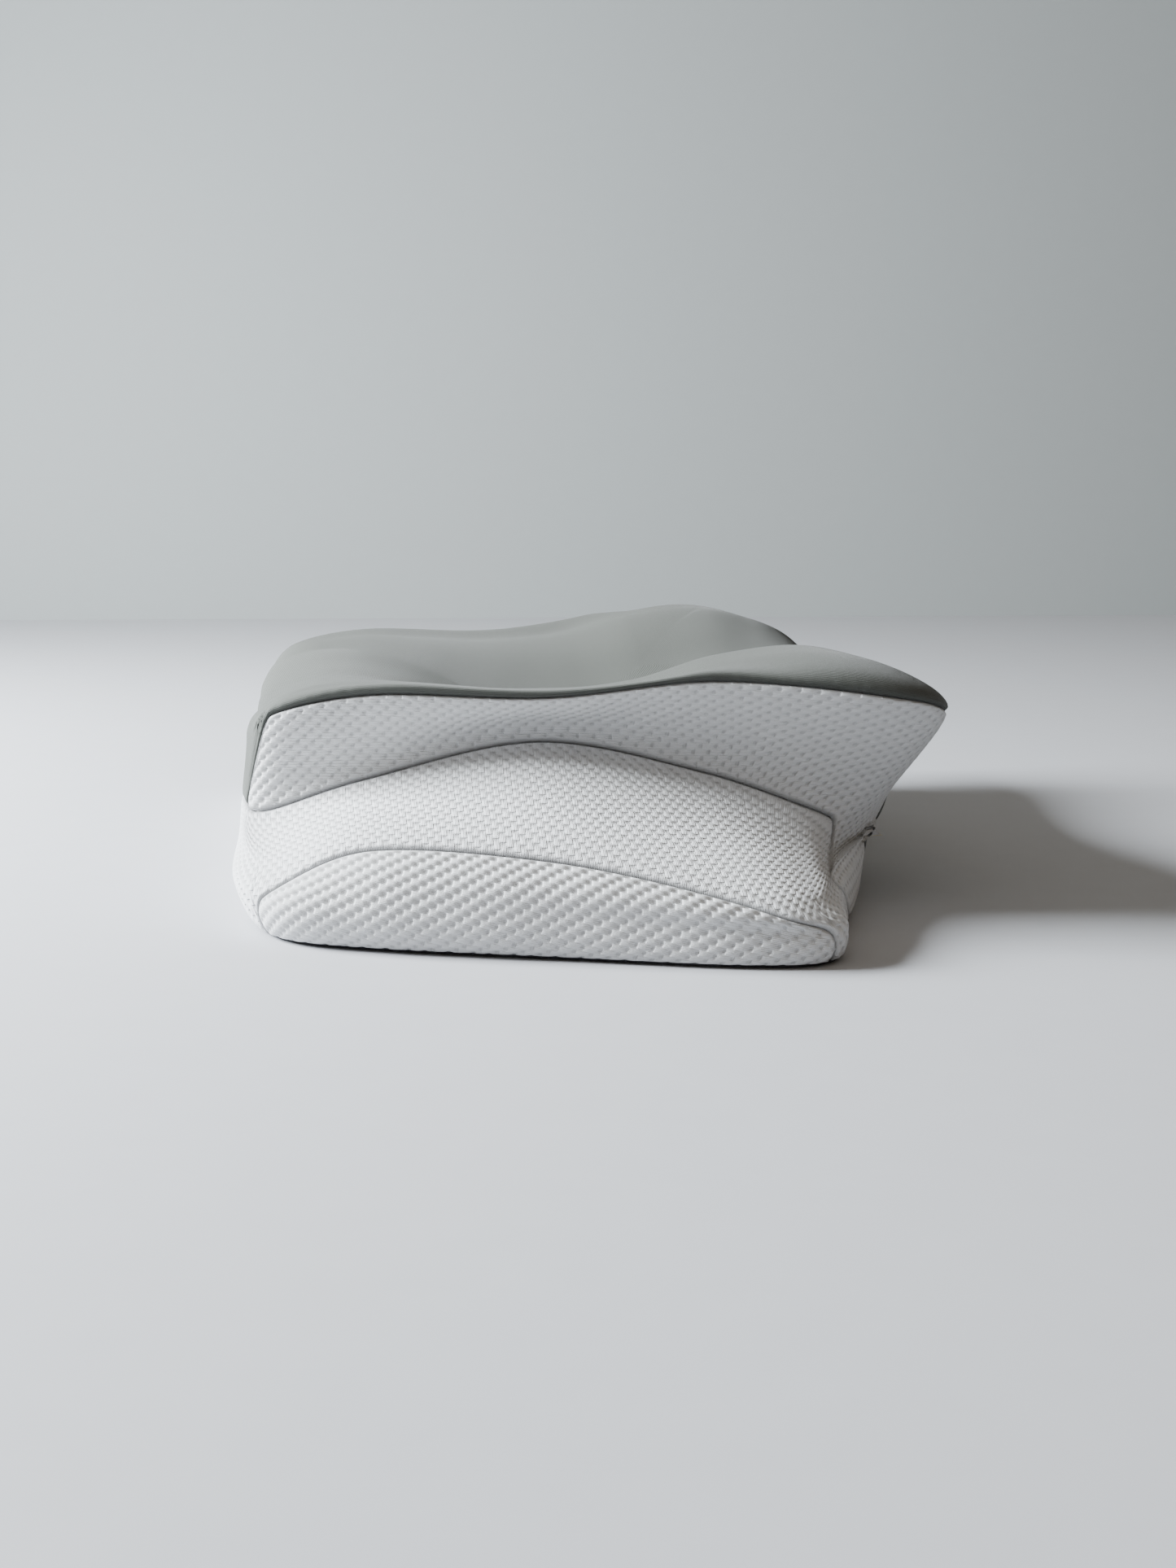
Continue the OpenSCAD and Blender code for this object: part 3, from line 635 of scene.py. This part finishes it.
def coil_tree():
    """A wound nylon filament: its length, turns, width, height and thickness."""
    tree, start, end = node_tree("coil_row")
    ids = {"Length": socket_in(tree, "Length", "NodeSocketFloat", 0.4),
           "Turns": socket_in(tree, "Turns", "NodeSocketFloat", 300.0),
           "Width": socket_in(tree, "Width", "NodeSocketFloat", 0.0022),
           "Height": socket_in(tree, "Height", "NodeSocketFloat", 0.0012),
           "Filament": socket_in(tree, "Filament", "NodeSocketFloat", 0.0004),
           "Material": tree.interface.new_socket(name="Material", in_out="INPUT",
                                                 socket_type="NodeSocketMaterial").identifier}
    nodes, links = tree.nodes, tree.links
    spiral = nodes.new("GeometryNodeCurveSpiral")
    spiral.inputs["Resolution"].default_value = 12
    spiral.inputs["Start Radius"].default_value = 1.0
    spiral.inputs["End Radius"].default_value = 1.0
    links.new(start.outputs["Turns"], spiral.inputs["Rotations"])
    links.new(start.outputs["Length"], spiral.inputs["Height"])
    halves = []
    for side in ("Width", "Height"):
        less = node(nodes, "ShaderNodeMath", operation="SUBTRACT")
        links.new(start.outputs[side], less.inputs[0])
        links.new(start.outputs["Filament"], less.inputs[1])
        half = node(nodes, "ShaderNodeMath", operation="MULTIPLY")
        half.inputs[1].default_value = 0.5
        links.new(less.outputs[0], half.inputs[0])
        halves.append(half)
    scale = nodes.new("ShaderNodeCombineXYZ")
    links.new(halves[0].outputs[0], scale.inputs["X"])
    links.new(halves[1].outputs[0], scale.inputs["Y"])
    scale.inputs["Z"].default_value = 1.0
    oval = nodes.new("GeometryNodeTransform")
    links.new(spiral.outputs["Curve"], oval.inputs["Geometry"])
    links.new(scale.outputs["Vector"], oval.inputs["Scale"])
    profile_ring = node(nodes, "GeometryNodeCurvePrimitiveCircle", mode="RADIUS")
    profile_ring.inputs["Resolution"].default_value = 6
    radius = node(nodes, "ShaderNodeMath", operation="MULTIPLY")
    radius.inputs[1].default_value = 0.5
    links.new(start.outputs["Filament"], radius.inputs[0])
    links.new(radius.outputs[0], profile_ring.inputs["Radius"])
    sweep = nodes.new("GeometryNodeCurveToMesh")
    sweep.inputs["Fill Caps"].default_value = True
    links.new(oval.outputs["Geometry"], sweep.inputs["Curve"])
    links.new(profile_ring.outputs["Curve"], sweep.inputs["Profile Curve"])
    real = nodes.new("GeometryNodeRealizeInstances")
    links.new(sweep.outputs["Mesh"], real.inputs["Geometry"])
    dress = nodes.new("GeometryNodeSetMaterial")
    links.new(real.outputs["Geometry"], dress.inputs["Geometry"])
    links.new(start.outputs["Material"], dress.inputs["Material"])
    links.new(dress.outputs["Geometry"], end.inputs["Geometry"])
    return tree, ids


def stitch_tree():
    """A straight row of stitches: where it starts, how it runs, how many and how long."""
    tree, start, end = node_tree("stitch_row")
    ids = {"Start": socket_in(tree, "Start", "NodeSocketVector", (0, 0, 0)),
           "Step": socket_in(tree, "Step", "NodeSocketVector", (0, 0.003, 0)),
           "Count": socket_in(tree, "Count", "NodeSocketInt", 10),
           "Stitch": socket_in(tree, "Stitch", "NodeSocketVector", (0.0003, 0.0011, 0.0003)),
           "Material": tree.interface.new_socket(name="Material", in_out="INPUT",
                                                 socket_type="NodeSocketMaterial").identifier}
    nodes, links = tree.nodes, tree.links
    line = node(nodes, "GeometryNodeMeshLine", mode="OFFSET")
    links.new(start.outputs["Count"], line.inputs["Count"])
    links.new(start.outputs["Start"], line.inputs["Start Location"])
    links.new(start.outputs["Step"], line.inputs["Offset"])
    bead = nodes.new("GeometryNodeMeshUVSphere")
    bead.inputs["Segments"].default_value = 8
    bead.inputs["Rings"].default_value = 6
    bead.inputs["Radius"].default_value = 1.0
    spread = nodes.new("GeometryNodeInstanceOnPoints")
    links.new(line.outputs["Mesh"], spread.inputs["Points"])
    links.new(bead.outputs["Mesh"], spread.inputs["Instance"])
    links.new(start.outputs["Stitch"], spread.inputs["Scale"])
    real = nodes.new("GeometryNodeRealizeInstances")
    links.new(spread.outputs["Instances"], real.inputs["Geometry"])
    dress = nodes.new("GeometryNodeSetMaterial")
    links.new(real.outputs["Geometry"], dress.inputs["Geometry"])
    links.new(start.outputs["Material"], dress.inputs["Material"])
    links.new(dress.outputs["Geometry"], end.inputs["Geometry"])
    return tree, ids


def grown(name, tree_and_ids, values, matrix=Matrix.Identity(4)):
    """Runs a node tree once with these values and keeps its result as a plain mesh."""
    tree, ids = tree_and_ids
    seed = bpy.data.objects.new(name + "_seed", bpy.data.meshes.new(name + "_seed"))
    bpy.context.scene.collection.objects.link(seed)
    modifier = seed.modifiers.new("grow", "NODES")
    modifier.node_group = tree
    for key, value in values.items():
        modifier[ids[key]] = value
    graph = bpy.context.evaluated_depsgraph_get()
    graph.update()
    mesh = bpy.data.meshes.new_from_object(seed.evaluated_get(graph))
    bpy.data.objects.remove(seed)
    mesh.transform(matrix)
    mesh.name = name
    mesh.polygons.foreach_set("use_smooth", np.ones(len(mesh.polygons), bool))
    obj = bpy.data.objects.new(name, mesh)
    bpy.context.scene.collection.objects.link(obj)
    return obj


def joined(name, parts):
    """Several objects' meshes as one piece."""
    mesh = bpy.data.meshes.new(name)
    build = bmesh.new()
    for part in parts:
        build.from_mesh(part.data)
        bpy.data.objects.remove(part)
    build.to_mesh(mesh)
    build.free()
    mesh.polygons.foreach_set("use_smooth", np.ones(len(mesh.polygons), bool))
    obj = bpy.data.objects.new(name, mesh)
    bpy.context.scene.collection.objects.link(obj)
    return obj


def eased(name, cad, width):
    """A moulded piece's own shape with its edges eased all round."""
    obj = bpy.data.objects.new(name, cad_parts[cad].data.copy())
    obj.data.transform(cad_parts[cad].matrix_world)
    bpy.context.scene.collection.objects.link(obj)
    build = bmesh.new()
    build.from_mesh(obj.data)
    bmesh.ops.remove_doubles(build, verts=build.verts, dist=1e-6)
    bmesh.ops.dissolve_limit(build, angle_limit=math.radians(1), verts=build.verts,
                             edges=build.edges)
    build.to_mesh(obj.data)
    build.free()
    bevel = obj.modifiers.new("ease", "BEVEL")
    bevel.width, bevel.segments, bevel.limit_method = width, 2, "ANGLE"
    bevel.angle_limit = math.radians(35)
    graph = bpy.context.evaluated_depsgraph_get()
    graph.update()
    mesh = bpy.data.meshes.new_from_object(obj.evaluated_get(graph))
    obj.modifiers.clear()
    obj.data = mesh
    mesh.polygons.foreach_set("use_smooth", np.zeros(len(mesh.polygons), bool))
    return obj


def care_label(name):
    """A blank satin label at the foot of the back, its lower edge standing off a little."""
    s = np.linspace(9.47, 9.47 + 30 / 75 - 0.04, 41)
    v = np.linspace(0.28, 1.12, 31)
    ss, vv = np.meshgrid(s, v)
    t = (1.12 - vv) / 0.84
    off = 0.62 + 1.5 * t ** 2 + 0.25 * np.sin((ss - 9.47) * 17) * t
    p, n = place(ss, vv), outward(ss, vv)
    wide = np.linalg.norm(np.diff(p, axis=1), axis=2).sum(1).mean()
    tall = np.linalg.norm(np.diff(p, axis=0), axis=2).sum(0).mean()
    face, back = p + n * (off + 0.15)[..., None], p + n * (off - 0.15)[..., None]
    return closed_sheet(name, face, back), (wide * MM, tall * MM)


# ---------------------------------------------------------------- materials
def material(name):
    mat = bpy.data.materials.new(name)
    mat.use_nodes = True
    nodes = mat.node_tree.nodes
    return mat, nodes, mat.node_tree.links, nodes["Principled BSDF"]


def node(nodes, kind, **settings):
    made = nodes.new(kind)
    for key, value in settings.items():
        setattr(made, key, value)
    return made


def colour_ramp(nodes, stops):
    ramp = nodes.new("ShaderNodeValToRGB")
    while len(ramp.color_ramp.elements) > len(stops):
        ramp.color_ramp.elements.remove(ramp.color_ramp.elements[-1])
    while len(ramp.color_ramp.elements) < len(stops):
        ramp.color_ramp.elements.new(1.0)
    for element, (at, colour) in zip(ramp.color_ramp.elements, stops):
        element.position = at
        element.color = (*colour, 1)
    return ramp


def math_node(nodes, links, operation, *values):
    """One arithmetic step on numbers or other nodes' outputs; gives its own output."""
    made = node(nodes, "ShaderNodeMath", operation=operation)
    for k, value in enumerate(values):
        if isinstance(value, (int, float)):
            made.inputs[k].default_value = value
        else:
            links.new(value, made.inputs[k])
    return made.outputs[0]


def step_up(nodes, links, value, low, high):
    """A soft step from 0 at low to 1 at high."""
    made = node(nodes, "ShaderNodeMapRange", interpolation_type="SMOOTHSTEP")
    made.inputs["From Min"].default_value = low
    made.inputs["From Max"].default_value = high
    links.new(value, made.inputs["Value"])
    return made.outputs["Result"]


def cell_pattern(nodes, links, cloth):
    """The quilted cells in millimetres of cloth: their relief, and the painted shade in their small
    pits.
    """
    do = lambda *step: math_node(nodes, links, *step)
    split = nodes.new("ShaderNodeSeparateXYZ")
    links.new(cloth, split.inputs["Vector"])
    p, q = split.outputs["X"], split.outputs["Y"]
    row = do("ROUND", do("DIVIDE", q, ROW))
    across = do("SUBTRACT", q, do("MULTIPLY", row, ROW))
    along = do("MULTIPLY_ADD", row, SHIFT, p)
    share = do("FRACT", do("DIVIDE", along, CELL))
    steep = step_up(nodes, links, share, 0.03, 0.13)
    fall = step_up(nodes, links, share, 0.45, 1.0)
    edge = step_up(nodes, links, do("ABSOLUTE", across), 0.75, 1.6)
    cell = do("MULTIPLY", steep, do("MULTIPLY_ADD", fall, -0.95, 1.0))
    cell = do("MULTIPLY", cell, do("MULTIPLY_ADD", edge, -0.3, 1.0))
    # pit: where each cell's small pit takes painted shade, 1 at its middle.
    from_pit = do("SUBTRACT", do("FRACT", do("ADD", share, 0.54)), 0.5)
    wide = do("POWER", do("MULTIPLY", from_pit, CELL / 1.25), 2.0)
    tall = do("POWER", do("DIVIDE", across, 1.5), 2.0)
    pit = do("SUBTRACT", 1.0, step_up(nodes, links, do("ADD", wide, tall), 0.1, 1.1))
    return cell, pit


def knit_material(name, light, dark, thread_pitch, fuzz, quilted):
    """Knit: fine threads across its cloth coordinates, cells with pits, and painted shade at the
    seams, in the pits and in the hollows.
    """
    mat, nodes, links, bsdf = material(name)
    do = lambda *step: math_node(nodes, links, *step)
    cloth = node(nodes, "ShaderNodeUVMap", uv_map="cloth")
    hollow = node(nodes, "ShaderNodeAttribute", attribute_name="hollow")
    seam = node(nodes, "ShaderNodeAttribute", attribute_name="seam")
    space = nodes.new("ShaderNodeTexCoord")
    ribs = node(nodes, "ShaderNodeTexWave", wave_type="BANDS", bands_direction="Y")
    ribs.inputs["Scale"].default_value = 0.314 / thread_pitch
    ribs.inputs["Distortion"].default_value = 0.8
    ribs.inputs["Detail"].default_value = 1.0
    ribs.inputs["Detail Scale"].default_value = 2.0
    links.new(cloth.outputs["UV"], ribs.inputs["Vector"])
    slubs, stretch = nodes.new("ShaderNodeTexNoise"), nodes.new("ShaderNodeMapping")
    stretch.inputs["Scale"].default_value = (0.6, 2.2, 1.0)
    links.new(cloth.outputs["UV"], stretch.inputs["Vector"])
    links.new(stretch.outputs["Vector"], slubs.inputs["Vector"])
    slubs.inputs["Scale"].default_value = 1.6
    slubs.inputs["Detail"].default_value = 4.0
    cloudy = nodes.new("ShaderNodeTexNoise")
    cloudy.inputs["Scale"].default_value = 9.0
    cloudy.inputs["Detail"].default_value = 2.0
    links.new(space.outputs["Object"], cloudy.inputs["Vector"])
    height = do("MULTIPLY_ADD", slubs.outputs["Fac"], 0.3,
                do("MULTIPLY", ribs.outputs["Fac"], 0.16))
    # Painted shade: the colour darkens towards each seam, whose valley lies in shade.
    shade = do("MULTIPLY", seam.outputs["Fac"], 0.9)
    if quilted:
        cell, pit = cell_pattern(nodes, links, cloth.outputs["UV"])
        open_cloth = do("SUBTRACT", 1.0, seam.outputs["Fac"])
        height = do("ADD", height, do("MULTIPLY", do("MULTIPLY", cell, open_cloth), quilted))
        # Painted shade in the small pits, kept off the seams, and a little painted shade in the
        # deeper hollows.
        pit = do("MULTIPLY", do("MULTIPLY", pit, open_cloth), 0.42)
        shade = do("MAXIMUM", shade, do("MAXIMUM", pit, do("MULTIPLY", hollow.outputs["Fac"], 0.2)))
    # Mixes from the knit's own colour towards its painted shade colour.
    tone = node(nodes, "ShaderNodeMix", data_type="RGBA")
    tone.inputs["A"].default_value = (*light, 1)
    tone.inputs["B"].default_value = (*dark, 1)
    links.new(shade, tone.inputs["Factor"])
    colour = tone.outputs["Result"]
    for value, stops in ((cloudy.outputs["Fac"], [(0.3, (0.95, 0.95, 0.955)), (0.7, (1, 1, 1))]),
                         (ribs.outputs["Fac"], [(0.0, (0.92, 0.92, 0.92)), (0.5, (1, 1, 1))]),
                         (slubs.outputs["Fac"], [(0.35, (0.94, 0.94, 0.94)), (0.6, (1, 1, 1))])):
        ramp = colour_ramp(nodes, stops)
        links.new(value, ramp.inputs["Fac"])
        mix = node(nodes, "ShaderNodeMix", data_type="RGBA", blend_type="MULTIPLY")
        mix.inputs["Factor"].default_value = 1.0
        links.new(colour, mix.inputs["A"])
        links.new(ramp.outputs["Color"], mix.inputs["B"])
        colour = mix.outputs["Result"]
    links.new(colour, bsdf.inputs["Base Color"])
    bsdf.inputs["Roughness"].default_value = 0.82
    bsdf.inputs["Sheen Weight"].default_value = fuzz
    bsdf.inputs["Sheen Roughness"].default_value = 0.45
    bsdf.inputs["Specular IOR Level"].default_value = 0.25
    bump = nodes.new("ShaderNodeBump")
    bump.inputs["Strength"].default_value = 0.8
    bump.inputs["Distance"].default_value = 0.0009
    links.new(height, bump.inputs["Height"])
    links.new(bump.outputs["Normal"], bsdf.inputs["Normal"])
    return mat


def plain_material(name, light, dark, scale, rough, relief, metal=0.0):
    """A fine grained finish with a little change of tone and a soft relief."""
    mat, nodes, links, bsdf = material(name)
    place_node = nodes.new("ShaderNodeTexCoord")
    grain = nodes.new("ShaderNodeTexNoise")
    grain.inputs["Scale"].default_value = scale
    grain.inputs["Detail"].default_value = 4.0
    links.new(place_node.outputs["Object"], grain.inputs["Vector"])
    ramp = colour_ramp(nodes, [(0.3, dark), (0.7, light)])
    links.new(grain.outputs["Fac"], ramp.inputs["Fac"])
    links.new(ramp.outputs["Color"], bsdf.inputs["Base Color"])
    bsdf.inputs["Roughness"].default_value = rough
    bsdf.inputs["Metallic"].default_value = metal
    bump = nodes.new("ShaderNodeBump")
    bump.inputs["Strength"].default_value = relief
    bump.inputs["Distance"].default_value = 0.0003
    links.new(grain.outputs["Fac"], bump.inputs["Height"])
    links.new(bump.outputs["Normal"], bsdf.inputs["Normal"])
    return mat


# Each knit's second colour is its painted shade at the seams, and for the white knits also in the
# pits and hollows.
white_knit = knit_material("dimpled_white_knit", (0.73, 0.735, 0.74), (0.27, 0.27, 0.275),
                           0.85, 0.1, 1.0)
ribbed_knit = knit_material("ribbed_white_knit", (0.73, 0.735, 0.745), (0.30, 0.30, 0.305),
                            0.85, 0.1, 1.0)
grey_knit = knit_material("smooth_grey_knit", (0.084, 0.089, 0.080), (0.042, 0.044, 0.040),
                          0.8, 0.12, 0.0)
foam_skin = plain_material("moulded_foam", (0.82, 0.78, 0.66), (0.74, 0.70, 0.58), 900, 0.9, 0.4)
liner_knit = plain_material("liner_jersey", (0.80, 0.80, 0.80), (0.66, 0.66, 0.66), 1400, 0.9, 0.3)
base_knit = plain_material("base_knit", (0.075, 0.075, 0.085), (0.04, 0.04, 0.045), 1200, 0.9, 0.5)
tape_weave = plain_material("zip_tape_weave", (0.06, 0.06, 0.07), (0.03, 0.03, 0.035),
                            1500, 0.8, 0.5)
coil_nylon = plain_material("zip_nylon", (0.03, 0.03, 0.035), (0.02, 0.02, 0.025), 600, 0.35, 0.1)
zip_metal = plain_material("zip_metal", (0.55, 0.55, 0.57), (0.42, 0.42, 0.44), 700, 0.35, 0.1, 1.0)
thread = plain_material("sewing_thread", (0.30, 0.30, 0.31), (0.22, 0.22, 0.23), 2500, 0.6, 0.3)
satin = plain_material("label_satin", (0.86, 0.86, 0.85), (0.80, 0.80, 0.79), 1500, 0.45, 0.2)

for piece, mat, cad, slot in (
        (lower_near, white_knit, "lower_panel_near", "dimpled_knit"),
        (lower_far, white_knit, "lower_panel_far", "dimpled_knit"),
        (upper_near, white_knit, "upper_panel_near", "dimpled_knit"),
        (upper_far, white_knit, "upper_panel_far", "dimpled_knit"),
        (band, ribbed_knit, "side_band", "ribbed_knit"),
        (top, grey_knit, "top_panel", "smooth_knit"),
        (foam, foam_skin, "foam_core", "foam"),
        (liner, liner_knit, "liner", "liner_mesh")):
    piece.data.materials.clear()
    piece.data.materials.append(mat)
    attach(piece, "pillow")
    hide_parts(cad)

coils, stitches = coil_tree(), stitch_tree()
TURNS = ZIP_L / COIL_PITCH
lay_down = Matrix.Rotation(-math.pi / 2, 4, "X")


def coil_row(name, sign):
    at = Vector((sign * (COIL_GAP + COIL_W) / 2, -ZIP_L / 2 + 0.3, COIL_Z + COIL_T / 2)) * MM
    return grown(name, coils, {"Length": (ZIP_L - 0.6) * MM, "Turns": TURNS,
                               "Width": (COIL_W - 0.04) * MM, "Height": (COIL_T - 0.04) * MM,
                               "Filament": FILAMENT * MM, "Material": coil_nylon},
                 Matrix.Translation(at) @ lay_down)


def zip_stitching(name, sign):
    rows = []
    for x in STITCH_ROWS:
        rows.append(grown(name + "_row", stitches, {
            "Start": (sign * x * MM, (-ZIP_END + 1.6) * MM, 0.28 * MM),
            "Step": (0, STITCH_STEP * MM, 0), "Count": int((2 * ZIP_END - 3) / STITCH_STEP),
            "Stitch": (0.26 * MM, 1.15 * MM, 0.22 * MM), "Material": thread}))
    return joined(name, rows)


label, label_size = care_label("care_label_satin")
pillow_bits = [
    (base_cloth("base_front_cloth", -1), base_knit, "base_front", "base_knit"),
    (base_cloth("base_back_cloth", 1), base_knit, "base_back", "base_knit"),
    (zip_tape("zip_tape_front_woven", -1), tape_weave, "zip_tape_front", "zip_tape"),
    (zip_tape("zip_tape_back_woven", 1), tape_weave, "zip_tape_back", "zip_tape"),
    (coil_row("zip_coil_front_wound", -1), coil_nylon, "zip_coil_front", "zip_coil"),
    (coil_row("zip_coil_back_wound", 1), coil_nylon, "zip_coil_back", "zip_coil"),
    (eased("zip_stop_closed_metal", "zip_stop_closed", 0.00035), zip_metal,
     "zip_stop_closed", "zip_metal"),
    (eased("zip_stop_open_metal", "zip_stop_open", 0.00035), zip_metal,
     "zip_stop_open", "zip_metal"),
    (zip_stitching("base_front_stitching", -1), thread, None, "zip_tape"),
    (zip_stitching("base_back_stitching", 1), thread, None, "zip_tape"),
    (label, satin, "care_label", "label_satin")]
for piece, mat, cad, slot in pillow_bits:
    piece.data.materials.clear()
    piece.data.materials.append(mat)
    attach(piece, "pillow")
    if cad:
        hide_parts(cad)
for name, cad, width in (("slider", "zip_slider", 0.00016), ("puller", "zip_puller", 0.00022)):
    piece = eased("zip_" + name + "_cast", cad, width)
    piece.data.materials.clear()
    piece.data.materials.append(zip_metal)
    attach(piece, name)
    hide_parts(cad)

# ---------------------------------------------------------------- stage
floor_mesh = bpy.data.meshes.new("floor")
FLOOR_BACK = 1.9
floor_mesh.from_pydata([(-8, -6, 0), (8, -6, 0), (8, FLOOR_BACK, 0), (-8, FLOOR_BACK, 0)],
                       [], [(0, 1, 2, 3)])
floor = bpy.data.objects.new("floor", floor_mesh)
wall_mesh = bpy.data.meshes.new("wall")
wall_mesh.from_pydata([(-8, FLOOR_BACK, 0), (8, FLOOR_BACK, 0), (8, FLOOR_BACK, 5),
                       (-8, FLOOR_BACK, 5)], [], [(0, 1, 2, 3)])
wall = bpy.data.objects.new("wall", wall_mesh)
for obj, light, dark in ((floor, (0.47, 0.475, 0.50), (0.46, 0.465, 0.49)),
                         (wall, (0.33, 0.35, 0.35), (0.325, 0.345, 0.345))):
    bpy.context.scene.collection.objects.link(obj)
    obj.data.materials.append(plain_material(obj.name + "_paint", light, dark, 40, 0.7, 0.0))


def area_light(name, at, towards, size, power, colour):
    data = bpy.data.lights.new(name, "AREA")
    data.shape, data.size, data.size_y = "RECTANGLE", size[0], size[1]
    data.energy, data.color = power, colour
    lamp = bpy.data.objects.new(name, data)
    lamp.location = at
    lamp.rotation_mode = "QUATERNION"
    lamp.rotation_quaternion = (Vector(towards) - Vector(at)).to_track_quat("-Z", "Y")
    bpy.context.scene.collection.objects.link(lamp)


WINDOW_AT, WINDOW_SIZE, WINDOW_POWER = (-1.6, 0.24, 0.88), (0.8, 0.7), 240
area_light("window", WINDOW_AT, (0, 0, 0.05), WINDOW_SIZE, WINDOW_POWER, (0.91, 0.965, 1.0))
# The room's own light comes from overhead, warm, and from the window's side, cool.
world = bpy.data.worlds.new("room")
bpy.context.scene.world = world
world.use_nodes = True
world_nodes, world_links = world.node_tree.nodes, world.node_tree.links
around, split = world_nodes.new("ShaderNodeTexCoord"), world_nodes.new("ShaderNodeSeparateXYZ")
world_links.new(around.outputs["Generated"], split.inputs["Vector"])
room = None
for axis, sign, tint in (("Z", 1.0, (0.40, 0.345, 0.275)), ("X", -1.0, (0.20, 0.22, 0.24))):
    facing = math_node(world_nodes, world_links, "MULTIPLY", split.outputs[axis], sign)
    facing = math_node(world_nodes, world_links, "MAXIMUM", facing, 0.0)
    lit = node(world_nodes, "ShaderNodeMix", data_type="RGBA")
    lit.inputs["A"].default_value = (0, 0, 0, 1) if room else (0.05, 0.04, 0.032, 1)
    lit.inputs["B"].default_value = (*tint, 1)
    world_links.new(facing, lit.inputs["Factor"])
    if room:
        both = node(world_nodes, "ShaderNodeMix", data_type="RGBA", blend_type="ADD")
        both.inputs["Factor"].default_value = 1.0
        world_links.new(room, both.inputs["A"])
        world_links.new(lit.outputs["Result"], both.inputs["B"])
        room = both.outputs["Result"]
    else:
        room = lit.outputs["Result"]
world_links.new(room, world_nodes["Background"].inputs["Color"])

# ---------------------------------------------------------------- camera
camera_data = bpy.data.cameras.new("camera")
camera_data.sensor_width = 36
camera_data.lens = 42.97
camera = bpy.data.objects.new("camera", camera_data)
bpy.context.scene.collection.objects.link(camera)
CAMERA_AT = (-0.1305, -1.126, 0.221)
YAW, PITCH, ROLL = (math.radians(a) for a in (7.6, 9.22, 0.3))
look = Vector((math.sin(YAW) * math.cos(PITCH), math.cos(YAW) * math.cos(PITCH),
               -math.sin(PITCH)))
level = Vector((math.cos(YAW), -math.sin(YAW), 0))
up = level.cross(look)
right = level * math.cos(ROLL) + up * math.sin(ROLL)
up = up * math.cos(ROLL) - level * math.sin(ROLL)
camera.matrix_world = Matrix.Translation(CAMERA_AT) @ Matrix(
    (right, up, -look)).transposed().to_4x4()
bpy.context.scene.camera = camera
